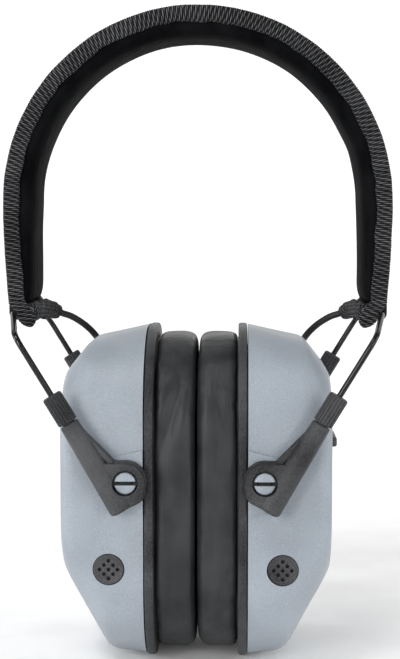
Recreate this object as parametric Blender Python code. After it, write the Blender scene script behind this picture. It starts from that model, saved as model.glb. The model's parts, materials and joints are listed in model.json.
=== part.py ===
"""Folding electronic earmuff.

A padded spring headband carries a bent wire yoke at each end. Two arms slide on the legs
of each yoke and hold an ear cup between them on a pair of slotted pins.

Units are metres. X runs from ear to ear, Y from front (-) to back (+), Z is up. The origin
lies under the middle of the pair of cups, at the height of their lowest edge. Heights are
drawn from a datum a little lower than that, and the finished object is dropped by DATUM_DROP.
Each sided piece is drawn for the +X side, and mirrored in X for the other side.
"""

import math

import bmesh
import bpy
from mathutils import Matrix, Vector

GAP = 0.0003
ROUND_SIDES = 20
SMOOTH_ANGLE = math.radians(32)

# Ear cup: the stack of cushion, base plate and shell, measured out from the middle plane.
CUSHION_FACE_X = 0.00015
CUSHION_BACK_X = 0.0117
RING_BACK_X = 0.0132
PLATE_INNER_X = 0.0135
PLATE_OUTER_X = 0.0169
SHELL_INNER_X = 0.0172
SHELL_OUTER_X = 0.0430
CUP_LOW_Z = 0.0036
CUP_HIGH_Z = 0.1130
CUP_HALF_DEPTH = 0.0355
CUP_TOP_RADIUS = 0.0290
CUP_BOTTOM_RADIUS = 0.0290
EAR_MIDDLE_Z = 0.0583
SCREW_HEIGHTS = (0.0115, 0.1053)
DATUM_DROP = CUP_LOW_Z
SHELL_WALL = 0.0024
SHELL_HALF_DEPTH = 0.0350
SHELL_DRAFT_DEPTH = 0.0343
SHELL_EDGE_RADIUS = 0.0045

# The shell's outline seen from the front: X, Z and the radius of each corner.
SHELL_TOP_CORNERS = (
    (0.0172, 0.1125, 0), (0.0350, 0.1084, 0.006), (0.0430, 0.0980, 0.007), (0.0430, 0.06, 0))
SHELL_BOTTOM_CORNERS = (
    (0.0172, 0.0044, 0), (0.0284, 0.0061, 0.007), (0.0430, 0.0349, 0.006), (0.0430, 0.06, 0))
CAVITY_TOP_CORNERS = (
    (0.0160, 0.1103, 0), (0.0336, 0.1063, 0.004), (0.0406, 0.0972, 0.005), (0.0406, 0.06, 0))
CAVITY_BOTTOM_CORNERS = (
    (0.0160, 0.0066, 0), (0.0267, 0.0083, 0.005), (0.0406, 0.0355, 0.004), (0.0406, 0.06, 0))

# Pivot of the cup: the axis of its two pins runs along Y.
PIVOT_X = 0.0216
PIVOT_Z = 0.0668
BOSS_FACE = 0.0362
LOBE_BACK = 0.0365
LOBE_FRONT = 0.0415
PLATE_FRONT = 0.0386
LOBE_RADIUS = 0.00655
LOBE_SHOULDER = (0.0300, 0.0731)
STRUT_FOOT = (0.0250, 0.0733)
STRUT_FRONT = 0.0400
PIN_HEAD_RADIUS = 0.00335
PIN_SHAFT_RADIUS = 0.0021
PIN_SEAT_RADIUS = 0.00395

# Arm and yoke wire: the legs lie in planes in front of and behind the cup.
LEG_Y = 0.0393
LEG_ANGLE = math.radians(58.6)
COLLAR_BASE_X = 0.0392
COLLAR_BASE_Z = 0.0853
COLLAR_LENGTH = 0.0100
COLLAR_RADIUS = 0.00315
COLLAR_RIBS = 14
REAR_ARM_EXTRA = 0.0062
SLEEVE_LENGTH = 0.0321
SLEEVE_END_RADIUS = 0.0039
SPIGOT_LENGTH = 0.0060
SPIGOT_RADIUS = 0.0020
WIRE_RADIUS = 0.00095
WIRE_BORE_RADIUS = 0.0013
WIRE_BORE_DEPTH = 0.0295
WIRE_IN_SLEEVE = 0.0170
SWING_X = 0.0590
SWING_Z = 0.1176
WIRE_SHOULDER_Y = 0.0205
WIRE_BEND_Z = 0.1122
WIRE_BEND_RADIUS = 0.0030

# Headband: offsets count inward from its outer surface.
BAND_RADIUS = 0.0624
BAND_CENTRE_Z = 0.1535
BAND_SIDE_RADIUS = 0.344
BAND_HALF_DEPTH = 0.0185
COVER_THICKNESS = 0.0012
BINDING_DEPTH = 0.0052
BINDING_WIDTH = 0.0015
SPRING_MIDDLE = 0.00195
JOG_LOW_Z = 0.1206
SPRING_THICKNESS = 0.0009
SPRING_HALF_DEPTH = 0.0140
CURL_RADIUS = 0.0018
CURL_SWEEP = math.radians(282)
PAD_BACK = 0.0028
PAD_CROWN = 0.0102
PAD_END_CROWN = 0.0074
PAD_FRONT_Y = -0.0167
PAD_REAR_Y = 0.0139
COVER_END_Z = 0.1214
PAD_END_Z = 0.1213
WINDOW_TOP_Z = 0.1268

# Cable between the cups: through the band near its rear edge, and free at each end.
CABLE_RADIUS = 0.00115
CABLE_BORE_RADIUS = 0.0015
BAND_CABLE_OFFSET = 0.0044
BAND_CABLE_Y = 0.0154
BAND_CABLE_END_Z = 0.1232
GLAND_POINT = Vector((0.0349, 0.0210, 0.10435))
GLAND_AXIS = Vector((0.498, 0.434, 0.751)).normalized()
FREE_CABLE_ROUTE = (
    (0.05715, 0.0154, 0.1229),
    (0.05640, 0.0157, 0.1206),
    (0.05420, 0.0162, 0.1184),
    (0.05100, 0.0168, 0.1170),
    (0.04820, 0.0176, 0.1155),
    (0.04500, 0.0186, 0.1143),
    (0.04140, 0.0200, 0.1120),
    (0.03860, 0.0217, 0.1094),
    (0.03664, 0.0225, 0.10698),
    (0.03490, 0.0210, 0.10435),
    (0.03266, 0.01905, 0.10097),
    (0.03140, 0.01796, 0.09909),
)

# Microphone, controls and battery.
MIC_X = 0.0274
MIC_Z = 0.0381
MIC_RADIUS = 0.0048
MIC_HOLE_RADIUS = 0.00056
MIC_HOLE_PITCH = 0.00143
KNOB_Z = 0.0746
KNOB_RADIUS = 0.0103
KNOB_RECESS_X = 0.0402
JACK_POINT = Vector((0.0412, -0.0040, 0.1003))
JACK_AXIS = Vector((0.793, 0.0, 0.610)).normalized()
DOOR_LOW_Z = 0.0373
DOOR_HIGH_Z = 0.0887
DOOR_HALF_DEPTH = 0.0130
DOOR_THICKNESS = 0.0022
CELL_RADIUS = 0.0051
CELL_LENGTH = 0.0438
CELL_MIDDLE_X = 0.0342
CELL_MIDDLE_Z = 0.0630

COLOURS = {
    "shell_plastic": ((0.37, 0.42, 0.49), 0.45, 0.0),
    "dark_plastic": ((0.060, 0.063, 0.068), 0.55, 0.0),
    "cushion_vinyl": ((0.045, 0.047, 0.050), 0.45, 0.0),
    "pad_vinyl": ((0.015, 0.015, 0.017), 0.40, 0.0),
    "ribbed_fabric": ((0.040, 0.040, 0.045), 0.85, 0.0),
    "black_steel": ((0.015, 0.015, 0.015), 0.20, 1.0),
    "cable_rubber": ((0.030, 0.030, 0.033), 0.50, 0.0),
    "foam": ((0.020, 0.020, 0.022), 0.95, 0.0),
    "steel": ((0.55, 0.55, 0.56), 0.30, 1.0),
    "circuit_green": ((0.02, 0.15, 0.06), 0.45, 0.0),
    "cell_wrap": ((0.30, 0.30, 0.32), 0.35, 0.0),
}


# ---------------------------------------------------------------- shapes

def shade(mesh):
    mesh.shade_smooth()
    mesh.set_sharp_from_angle(angle=SMOOTH_ANGLE)


def object_from_bmesh(name, bm):
    bmesh.ops.recalc_face_normals(bm, faces=bm.faces)
    mesh = bpy.data.meshes.new(name)
    bm.to_mesh(mesh)
    bm.free()
    obj = bpy.data.objects.new(name, mesh)
    bpy.context.scene.collection.objects.link(obj)
    return obj


def loft(rings):
    """A closed body through rings of equally many points, with flat caps at both ends."""
    bm = bmesh.new()
    loops = [[bm.verts.new(point) for point in ring] for ring in rings]
    count = len(loops[0])
    for near, far in zip(loops, loops[1:]):
        for i in range(count):
            j = (i + 1) % count
            bm.faces.new((near[i], near[j], far[j], far[i]))
    bm.faces.new(loops[0])
    bm.faces.new(loops[-1])
    return object_from_bmesh("shape", bm)


def prism(outline, y_near, y_far):
    """An X-Z outline extruded along Y."""
    return loft([[(x, y, z) for x, z in outline] for y in (y_near, y_far)])


def frame_along(axis):
    """Two directions at right angles to an axis and to each other."""
    axis = axis.normalized()
    helper = Vector((0, 1, 0)) if abs(axis.y) < 0.9 else Vector((1, 0, 0))
    across = axis.cross(helper).normalized()
    return across, axis.cross(across)


def turned(start, axis, stations, sides=ROUND_SIDES):
    """A turned solid: stations are distance along the axis and radius."""
    axis = Vector(axis).normalized()
    across, up = frame_along(axis)
    rings = []
    for distance, radius in stations:
        centre = Vector(start) + axis * distance
        angles = [math.tau * i / sides for i in range(sides)]
        rings.append([centre + (across * math.cos(a) + up * math.sin(a)) * radius for a in angles])
    return loft(rings)


def rod(start, end, radius, sides=ROUND_SIDES):
    axis = Vector(end) - Vector(start)
    return turned(start, axis, ((0, radius), (axis.length, radius)), sides)


def arc(centre, radius, first, last, steps):
    """Points on an arc in a plane; the angles are in radians."""
    angles = [first + (last - first) * i / steps for i in range(steps + 1)]
    return [(centre[0] + radius * math.cos(a), centre[1] + radius * math.sin(a)) for a in angles]


def rounded_chain(corners, steps=3):
    """A polyline whose corners, given as x, z and radius, are rounded off."""
    points = [corners[0][:2]]
    for before, corner, after in zip(corners, corners[1:], corners[2:]):
        here = Vector(corner[:2])
        back = (Vector(before[:2]) - here).normalized()
        ahead = (Vector(after[:2]) - here).normalized()
        reach = corner[2] / math.tan(back.angle(ahead) / 2)
        start = here + back * reach
        end = here + ahead * reach
        for i in range(steps + 1):
            t = i / steps
            blend = start * (1 - t) ** 2 + here * 2 * t * (1 - t) + end * t ** 2
            points.append(tuple(blend))
    points.append(corners[-1][:2])
    return points


def height_at(chain, x):
    """Z where a chain that runs outward first reaches x."""
    for (x0, z0), (x1, z1) in zip(chain, chain[1:]):
        if x1 >= x - 1e-9 and x1 > x0:
            return z0 + (z1 - z0) * (x - x0) / (x1 - x0)
    return chain[-1][1]


def upright_ring(x, half_depth, low, high, low_radius, high_radius, steps=5):
    """A rounded rectangle in a plane of constant X, flat on top and bottom."""
    quarter = math.pi / 2
    corners = (
        (half_depth - high_radius, high - high_radius, high_radius, 0),
        (high_radius - half_depth, high - high_radius, high_radius, quarter),
        (low_radius - half_depth, low + low_radius, low_radius, 2 * quarter),
        (half_depth - low_radius, low + low_radius, low_radius, 3 * quarter),
    )
    points = []
    for y, z, radius, first in corners:
        points += arc((y, z), radius, first, first + quarter, steps)
    return [(x, y, z) for y, z in points]


def cushion_ring_points(x, inset, steps=5):
    """The cup's outline in a plane of constant X, drawn in by an inset."""
    return upright_ring(
        x, CUP_HALF_DEPTH - inset, CUP_LOW_Z + inset, CUP_HIGH_Z - inset,
        CUP_BOTTOM_RADIUS - inset * 0.6, CUP_TOP_RADIUS - inset * 0.6, steps)


def ear_opening(x, half_depth, half_height, steps=5):
    radius = half_depth * 0.9
    return upright_ring(
        x, half_depth, EAR_MIDDLE_Z - half_height, EAR_MIDDLE_Z + half_height, radius, radius, steps)


def combine(target, others, operation):
    """Boolean of a target with other shapes, which are used up."""
    for other in others:
        modifier = target.modifiers.new(operation.lower(), "BOOLEAN")
        modifier.operation = operation
        modifier.object = other
        modifier.solver = "EXACT"
    bpy.context.view_layer.update()
    evaluated = target.evaluated_get(bpy.context.evaluated_depsgraph_get())
    mesh = bpy.data.meshes.new_from_object(evaluated)
    target.modifiers.clear()
    target.data = mesh
    for other in others:
        bpy.data.objects.remove(other)
    return target


def cut(target, *others):
    return combine(target, others, "DIFFERENCE")


def fuse(target, *others):
    return combine(target, others, "UNION")


def smooth_route(points, spacing):
    """Even points along a smooth curve through the given points."""
    knots = [Vector(p) for p in points]
    knots = [knots[0] * 2 - knots[1]] + knots + [knots[-1] * 2 - knots[-2]]
    dense = []
    for a, b, c, d in zip(knots, knots[1:], knots[2:], knots[3:]):
        for i in range(20):
            t = i / 20
            dense.append(0.5 * ((2 * b) + (c - a) * t + (2 * a - 5 * b + 4 * c - d) * t ** 2
                                + (3 * b - a - 3 * c + d) * t ** 3))
    dense.append(knots[-2])
    total = sum((q - p).length for p, q in zip(dense, dense[1:]))
    count = max(2, round(total / spacing))
    even = [dense[0]]
    walked = 0.0
    for p, q in zip(dense, dense[1:]):
        step = (q - p).length
        while len(even) < count and walked + step >= total * len(even) / count:
            t = (total * len(even) / count - walked) / step
            even.append(p.lerp(q, t))
        walked += step
    even.append(dense[-1])
    return even


def tube(name, points, radius, mirrored=False):
    """A round tube as a curve with a bevel, through the given points."""
    curve = bpy.data.curves.new(name, "CURVE")
    curve.dimensions = "3D"
    curve.bevel_depth = radius
    curve.bevel_resolution = 2
    curve.use_fill_caps = True
    spline = curve.splines.new("POLY")
    spline.points.add(len(points) - 1)
    for slot, point in zip(spline.points, points):
        x = -point[0] if mirrored else point[0]
        slot.co = (x, point[1], point[2], 1)
    obj = bpy.data.objects.new(name, curve)
    bpy.context.scene.collection.objects.link(obj)
    return obj


# ---------------------------------------------------------------- placing

def make_material(name):
    colour, roughness, metallic = COLOURS[name]
    material = bpy.data.materials.new(name)
    material.use_nodes = True
    shader = material.node_tree.nodes["Principled BSDF"]
    shader.inputs["Base Color"].default_value = (*colour, 1)
    shader.inputs["Roughness"].default_value = roughness
    shader.inputs["Metallic"].default_value = metallic
    return material


def joint_axis(name, position, parent=None):
    """An empty on a joint's axis, which the moving pieces hang from."""
    empty = bpy.data.objects.new(name, None)
    bpy.context.scene.collection.objects.link(empty)
    empty.parent = parent
    base = parent["origin"] if parent else (0, 0, 0)
    empty.location = Vector(position) - Vector(base)
    empty["origin"] = tuple(position)
    return empty


def place(obj, name, material, holder, side=1):
    """Name a piece, mirror it to its side, and hang it from its joint's empty."""
    obj.name = name
    obj.data.name = name
    origin = Vector(holder["origin"])
    if obj.type == "MESH":
        mesh = obj.data
        if side < 0:
            mesh.transform(Matrix.Scale(-1, 4, (1, 0, 0)))
            mesh.flip_normals()
        mesh.transform(Matrix.Translation(-origin))
        shade(mesh)
    else:
        for spline in obj.data.splines:
            for point in spline.points:
                point.co = (*(point.co.xyz - origin), 1)
    obj.data.materials.clear()
    obj.data.materials.append(make_material(material))
    obj.parent = holder
    return obj


# ---------------------------------------------------------------- ear cup

def shell_half_depth(x):
    edge_start = SHELL_OUTER_X - SHELL_EDGE_RADIUS
    if x <= edge_start:
        share = (x - SHELL_INNER_X) / (edge_start - SHELL_INNER_X)
        return SHELL_HALF_DEPTH + (SHELL_DRAFT_DEPTH - SHELL_HALF_DEPTH) * share
    lean = (x - edge_start) / SHELL_EDGE_RADIUS
    return SHELL_DRAFT_DEPTH - SHELL_EDGE_RADIUS * (1 - math.sqrt(max(0.0, 1 - lean * lean)))


def shell_corner_radius(x):
    share = (x - SHELL_INNER_X) / (SHELL_OUTER_X - SHELL_INNER_X)
    return 0.028 - 0.010 * share ** 2


def shell_solid(top_corners, bottom_corners, stations, wall):
    top = rounded_chain(top_corners)
    bottom = rounded_chain(bottom_corners)
    rings = []
    for x in stations:
        corner = shell_corner_radius(x) - wall
        rings.append(upright_ring(
            x, shell_half_depth(x) - wall, height_at(bottom, x), height_at(top, x), corner, corner))
    return loft(rings)


def shell_body():
    """The open cup: outer form less the cavity, with a boss for each pivot pin."""
    outer = shell_solid(
        SHELL_TOP_CORNERS, SHELL_BOTTOM_CORNERS,
        (0.0172, 0.0250, 0.0285, 0.0310, 0.0335, 0.0355, 0.0385, 0.0408, 0.0423, 0.0430), 0)
    cavity = shell_solid(
        CAVITY_TOP_CORNERS, CAVITY_BOTTOM_CORNERS,
        (0.0160, 0.0260, 0.0300, 0.0336, 0.0380, 0.0406), SHELL_WALL)
    body = cut(outer, cavity)
    boss_outline = (
        (0.0172, 0.0560), (0.0245, 0.0570), (0.0290, 0.0620), (0.0290, 0.0700),
        (0.0262, 0.0738), (0.0172, 0.0760))
    for facing in (-1, 1):
        boss = prism(boss_outline, facing * 0.0305, facing * BOSS_FACE)
        body = fuse(body, boss)
        inner_end = (PIVOT_X, facing * 0.029, PIVOT_Z)
        outer_end = (PIVOT_X, facing * 0.038, PIVOT_Z)
        body = cut(body, rod(inner_end, outer_end, PIN_SHAFT_RADIUS + GAP))
    mic_seat = rod((MIC_X, -0.030, MIC_Z), (MIC_X, -0.037, MIC_Z), MIC_RADIUS + 0.00025)
    cable_hole = rod(
        GLAND_POINT - GLAND_AXIS * 0.007, GLAND_POINT + GLAND_AXIS * 0.004, 0.0025)
    return cut(body, mic_seat, cable_hole)


def control_shell():
    """The shell on the side with the electronics: a recess for the knob, and a jack hole."""
    body = shell_body()
    seat = rod((0.0383, 0, KNOB_Z), (0.0412, 0, KNOB_Z), KNOB_RADIUS + 0.0018)
    body = fuse(body, seat)
    recess = rod((KNOB_RECESS_X, 0, KNOB_Z), (0.0450, 0, KNOB_Z), KNOB_RADIUS + 0.0004)
    shaft_hole = rod((0.0375, 0, KNOB_Z), (0.0408, 0, KNOB_Z), 0.0034)
    jack_hole = rod(JACK_POINT - JACK_AXIS * 0.006, JACK_POINT + JACK_AXIS * 0.003, 0.0026)
    return cut(body, recess, shaft_hole, jack_hole)


def battery_shell():
    """The shell on the side with the cells: an opening for the door in its outer face."""
    body = shell_body()
    opening = loft([
        upright_ring(x, DOOR_HALF_DEPTH + 0.0004, DOOR_LOW_Z - 0.0005, DOOR_HIGH_Z + 0.0004, 0.0015, 0.0015, 2)
        for x in (0.0390, 0.0450)])
    return cut(body, opening)


def base_plate():
    """The dark rim that closes the cup, with the ear opening through it."""
    rings = (
        cushion_ring_points(PLATE_INNER_X, 0.0007),
        cushion_ring_points(PLATE_INNER_X + 0.0006, 0.0),
        cushion_ring_points(PLATE_OUTER_X - 0.0006, 0.0),
        cushion_ring_points(PLATE_OUTER_X, 0.0006),
    )
    plate = loft(rings)
    opening = loft([ear_opening(x, 0.0210, 0.0360) for x in (0.0125, 0.0180)])
    plate = cut(plate, opening)
    for z in SCREW_HEIGHTS:
        hole = rod((0.0125, 0, z), (0.0180, 0, z), 0.00145, 16)
        plate = cut(plate, hole)
    return plate


def base_screw(z):
    """A small countersunk screw that holds the base plate to the shell's rim."""
    return turned((0.01355, 0, z), (1, 0, 0), ((0, 0.0011), (0.0033, 0.0011)), 16)


def cushion():
    rings = (
        cushion_ring_points(CUSHION_BACK_X, 0.0032),
        cushion_ring_points(0.0045, 0.0026),
        cushion_ring_points(0.0018, 0.0031),
        cushion_ring_points(CUSHION_FACE_X, 0.0050),
    )
    body = loft(rings)
    opening = loft([
        ear_opening(-0.0010, 0.0215, 0.0345),
        ear_opening(0.0130, 0.0195, 0.0325)])
    return cut(body, opening)


def cushion_ring():
    """The stiff ring at the cushion's back that snaps on to the base plate."""
    body = loft([cushion_ring_points(x, 0.0040) for x in (CUSHION_BACK_X + GAP, RING_BACK_X)])
    opening = loft([ear_opening(x, 0.0200, 0.0340) for x in (0.0110, 0.0140)])
    return cut(body, opening)


def liner_foam():
    return loft([
        upright_ring(x, 0.0270, 0.0170, 0.0996, 0.020, 0.020)
        for x in (SHELL_INNER_X + GAP, 0.0228)])


def speaker_baffle():
    """The inner plate that carries the loudspeaker behind the foam."""
    low = EAR_MIDDLE_Z - 0.0235
    high = EAR_MIDDLE_Z + 0.0235
    plate = loft([upright_ring(x, 0.0225, low, high, 0.006, 0.006, 3) for x in (0.0231, 0.0243)])
    return cut(plate, rod((0.0220, 0, EAR_MIDDLE_Z), (0.0255, 0, EAR_MIDDLE_Z), 0.0125))


def speaker():
    stations = ((0, 0.0150), (0.0012, 0.0150), (0.0014, 0.0100), (0.0025, 0.0095))
    return turned((0.0246, 0, EAR_MIDDLE_Z), (1, 0, 0), stations)


def mic_grille():
    """A flush disc with a centre hole and eight holes in a diamond around it."""
    stations = ((0, MIC_RADIUS), (0.0012, MIC_RADIUS), (0.0015, MIC_RADIUS - 0.0003))
    disc = turned((MIC_X, -0.0332, MIC_Z), (0, -1, 0), stations)
    steps = ((0, 0), (2, 0), (-2, 0), (0, 2), (0, -2), (1, 1), (1, -1), (-1, 1), (-1, -1))
    holes = []
    for across, up in steps:
        x = MIC_X + across * MIC_HOLE_PITCH
        z = MIC_Z + up * MIC_HOLE_PITCH
        holes.append(rod((x, -0.0320, z), (x, -0.0360, z), MIC_HOLE_RADIUS, 8))
    return cut(disc, *holes)


def mic_capsule():
    return turned((MIC_X, -0.0329, MIC_Z), (0, 1, 0), ((0, 0.0043), (0.0045, 0.0043)))


def pivot_pin(facing):
    """A slotted pin: its head sits in the arm's lobe and its shaft in the shell's boss."""
    pin = turned(
        (PIVOT_X, facing * 0.0300, PIVOT_Z), (0, facing, 0),
        ((0, PIN_SHAFT_RADIUS), (0.0101, PIN_SHAFT_RADIUS), (0.0101, PIN_HEAD_RADIUS),
         (0.0113, PIN_HEAD_RADIUS), (0.0116, PIN_HEAD_RADIUS - 0.0004)))
    slot_outline = (
        (PIVOT_X - 0.005, PIVOT_Z - 0.00045), (PIVOT_X + 0.005, PIVOT_Z - 0.00045),
        (PIVOT_X + 0.005, PIVOT_Z + 0.00045), (PIVOT_X - 0.005, PIVOT_Z + 0.00045))
    return cut(pin, prism(slot_outline, facing * 0.0409, facing * 0.0430))


def cable_gland():
    gland = turned(
        GLAND_POINT - GLAND_AXIS * 0.0045, GLAND_AXIS,
        ((0, 0.0022), (0.0052, 0.0022), (0.0058, 0.0026), (0.0066, 0.0026), (0.0080, 0.0019)))
    reach = GLAND_AXIS * 0.006
    return cut(gland, rod(GLAND_POINT - reach, GLAND_POINT + reach, CABLE_BORE_RADIUS, 16))


# ---------------------------------------------------------------- controls and battery

def circuit_board():
    return loft([upright_ring(x, 0.0220, 0.0430, 0.0900, 0.004, 0.004, 2) for x in (0.0278, 0.0290)])


def volume_control():
    """The switched potentiometer on the board, with its shaft."""
    low = KNOB_Z - 0.0055
    high = KNOB_Z + 0.0055
    body = loft([upright_ring(x, 0.0055, low, high, 0.0008, 0.0008, 1) for x in (0.0293, 0.0360)])
    return fuse(body, rod((0.0355, 0, KNOB_Z), (0.0415, 0, KNOB_Z), 0.0029))


def volume_knob():
    """A recessed dial with fluted edge and one grip bar across it."""
    sides = 48
    rings = []
    for x, outer in ((0.0405, KNOB_RADIUS - 0.0003), (0.0409, KNOB_RADIUS), (0.0431, KNOB_RADIUS),
                     (0.0435, KNOB_RADIUS - 0.0005)):
        ring = []
        for i in range(sides):
            angle = math.tau * i / sides
            radius = outer - (0.00045 if i % 4 in (0, 1) else 0)
            ring.append((x, radius * math.cos(angle), KNOB_Z + radius * math.sin(angle)))
        rings.append(ring)
    dial = loft(rings)
    bar = loft([
        upright_ring(0.0430, 0.0088, KNOB_Z - 0.0018, KNOB_Z + 0.0018, 0.0012, 0.0012, 2),
        upright_ring(0.0455, 0.0084, KNOB_Z - 0.0015, KNOB_Z + 0.0015, 0.0010, 0.0010, 2),
        upright_ring(0.0459, 0.0080, KNOB_Z - 0.0012, KNOB_Z + 0.0012, 0.0008, 0.0008, 2)])
    dial = fuse(dial, bar)
    return cut(dial, rod((0.0395, 0, KNOB_Z), (0.0418, 0, KNOB_Z), 0.0032))


def audio_jack():
    body = turned(
        JACK_POINT - JACK_AXIS * 0.0115, JACK_AXIS,
        ((0, 0.0027), (0.0079, 0.0027), (0.0079, 0.0023), (0.0113, 0.0023)))
    return cut(body, rod(JACK_POINT - JACK_AXIS * 0.010, JACK_POINT + JACK_AXIS * 0.001, 0.00175, 16))


def battery_door():
    """The snap-in cover of the cell compartment, with a finger notch near its top."""
    rings = []
    for depth, inset in ((DOOR_THICKNESS, 0.0), (0.0003, 0.0), (0.0, 0.0003)):
        rings.append(upright_ring(
            SHELL_OUTER_X - depth, DOOR_HALF_DEPTH - inset, DOOR_LOW_Z + inset, DOOR_HIGH_Z - inset,
            0.0012, 0.0012, 2))
    notch_x = SHELL_OUTER_X + 0.0004
    notch = rod((notch_x, -0.005, 0.0845), (notch_x, 0.005, 0.0845), 0.0013, 12)
    return cut(loft(rings), notch)


def battery_tray():
    half_depth = 0.0126
    low = CELL_MIDDLE_Z - 0.0254
    high = CELL_MIDDLE_Z + 0.0254
    tray = loft([upright_ring(x, half_depth, low, high, 0.0012, 0.0012, 2) for x in (0.0275, 0.0401)])
    inner = half_depth - 0.0012
    low += 0.0012
    high -= 0.0012
    room = loft([upright_ring(x, inner, low, high, 0.0008, 0.0008, 2) for x in (0.0288, 0.0415)])
    return cut(tray, room)


def battery_cell(y):
    shoulder = CELL_LENGTH - 0.0010
    stations = ((0, CELL_RADIUS), (shoulder, CELL_RADIUS), (shoulder, 0.0019), (CELL_LENGTH, 0.0019))
    return turned((CELL_MIDDLE_X, y, CELL_MIDDLE_Z - CELL_LENGTH / 2), (0, 0, 1), stations)


def battery_contact(z):
    strip = ((0.0294, -0.0105), (0.0390, -0.0105), (0.0390, 0.0105), (0.0294, 0.0105))
    return loft([[(x, y, level) for x, y in strip] for level in (z - 0.0002, z + 0.0002)])


# ---------------------------------------------------------------- arms and yoke

def leg_direction():
    return Vector((math.cos(LEG_ANGLE), 0, math.sin(LEG_ANGLE)))


def leg_point(distance, facing):
    """A point on the leg's centre line, measured up it from the front collar's lower end."""
    return Vector((COLLAR_BASE_X, facing * LEG_Y, COLLAR_BASE_Z)) + leg_direction() * distance


def convex_outline(points):
    """Convex hull of X-Z points, as an ordered outline."""
    ordered = sorted(set(points))

    def half(sequence):
        chain = []
        for p in sequence:
            while len(chain) > 1:
                a = chain[-2]
                b = chain[-1]
                turn = (b[0] - a[0]) * (p[1] - a[1]) - (b[1] - a[1]) * (p[0] - a[0])
                if turn > 1e-12:
                    break
                chain.pop()
            chain.append(p)
        return chain[:-1]

    return half(ordered) + half(reversed(ordered))


def sleeve_edge(distance, outward, radius):
    """A point on the sleeve's long edge: outward is +1 for the outer, lower edge."""
    point = leg_point(distance, 1)
    return (point.x + outward * radius * math.sin(LEG_ANGLE), point.z - outward * radius * math.cos(LEG_ANGLE))


def arm(facing):
    """One arm: a sleeve for the wire, a lobe for the pin, and a web and strut between them."""
    extra = REAR_ARM_EXTRA if facing > 0 else 0.0
    lobe = arc((PIVOT_X, PIVOT_Z), LOBE_RADIUS, 0, math.tau * 35 / 36, 35)
    foot = -SLEEVE_LENGTH + 0.0007
    base_outline = convex_outline(lobe + [LOBE_SHOULDER, sleeve_edge(foot, 1, 0.0030)])
    body = prism(base_outline, facing * (LOBE_BACK - 0.0010), facing * PLATE_FRONT)
    web_outline = convex_outline([
        sleeve_edge(-0.0030, -1, 0.0024), STRUT_FOOT, (PIVOT_X, PIVOT_Z + 0.0020),
        sleeve_edge(-0.0280, 0, 0), sleeve_edge(-0.0030, 1, 0.0010)])
    web = prism(web_outline, facing * (LOBE_BACK - 0.0014), facing * (PLATE_FRONT - 0.0003))
    strut_outline = convex_outline([
        sleeve_edge(-0.0032, -1, 0.0023), (STRUT_FOOT[0] + 0.0002, STRUT_FOOT[1]),
        (STRUT_FOOT[0] + 0.0014, STRUT_FOOT[1] - 0.0012), sleeve_edge(-0.0052, -1, 0.0016)])
    strut = prism(strut_outline, facing * (LOBE_BACK - 0.0012), facing * STRUT_FRONT)
    body = fuse(body, web, strut)
    inner_lobe = arc((PIVOT_X, PIVOT_Z), LOBE_RADIUS - 0.0004, 0.05, 0.05 + math.tau * 35 / 36, 35)
    lobe_outline = convex_outline(inner_lobe + [
        (LOBE_SHOULDER[0] - 0.0003, LOBE_SHOULDER[1] - 0.0003), sleeve_edge(foot + 0.0005, 1, 0.0025)])
    raised = prism(lobe_outline, facing * (LOBE_BACK - 0.0005), facing * LOBE_FRONT)
    top = SLEEVE_LENGTH - GAP + extra
    sleeve = turned(
        leg_point(-SLEEVE_LENGTH, facing), leg_direction(),
        ((0, SLEEVE_END_RADIUS - 0.0005), (0.0008, SLEEVE_END_RADIUS), (top, COLLAR_RADIUS - 0.0001),
         (top, SPIGOT_RADIUS), (top + SPIGOT_LENGTH, SPIGOT_RADIUS)))
    body = fuse(body, raised, sleeve)
    back = prism(((0.0, 0.03), (0.08, 0.03), (0.08, 0.12), (0.0, 0.12)), facing * 0.030, facing * LOBE_BACK)
    outside = (PIVOT_X, facing * 0.045, PIVOT_Z)
    seat = rod((PIVOT_X, facing * (LOBE_FRONT - 0.0017), PIVOT_Z), outside, PIN_SEAT_RADIUS)
    bore = rod((PIVOT_X, facing * 0.035, PIVOT_Z), outside, PIN_SHAFT_RADIUS + GAP)
    wire_bore = rod(leg_point(-WIRE_BORE_DEPTH, facing), leg_point(0.020, facing), WIRE_BORE_RADIUS, 16)
    return cut(body, back, seat, bore, wire_bore)


def collar(facing):
    """The ribbed grip collar on the sleeve's upper end."""
    extra = REAR_ARM_EXTRA if facing > 0 else 0.0
    across, up = frame_along(leg_direction())
    steps = COLLAR_RIBS * 3
    rings = []
    for distance, shrink in ((0, 0.0), (COLLAR_LENGTH - 0.0004, 0.0), (COLLAR_LENGTH, 0.0004)):
        centre = leg_point(distance + extra, facing)
        ring = []
        for i in range(steps):
            angle = math.tau * i / steps
            radius = COLLAR_RADIUS - shrink - (0.0 if i % 3 else 0.0003)
            ring.append(centre + (across * math.cos(angle) + up * math.sin(angle)) * radius)
        rings.append(ring)
    body = loft(rings)
    socket_end = leg_point(SPIGOT_LENGTH + GAP + extra, facing)
    socket = rod(leg_point(extra - 0.001, facing), socket_end, SPIGOT_RADIUS + GAP, 16)
    bore = rod(leg_point(extra, facing), leg_point(0.012 + extra, facing), WIRE_BORE_RADIUS, 16)
    return cut(body, socket, bore)


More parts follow.
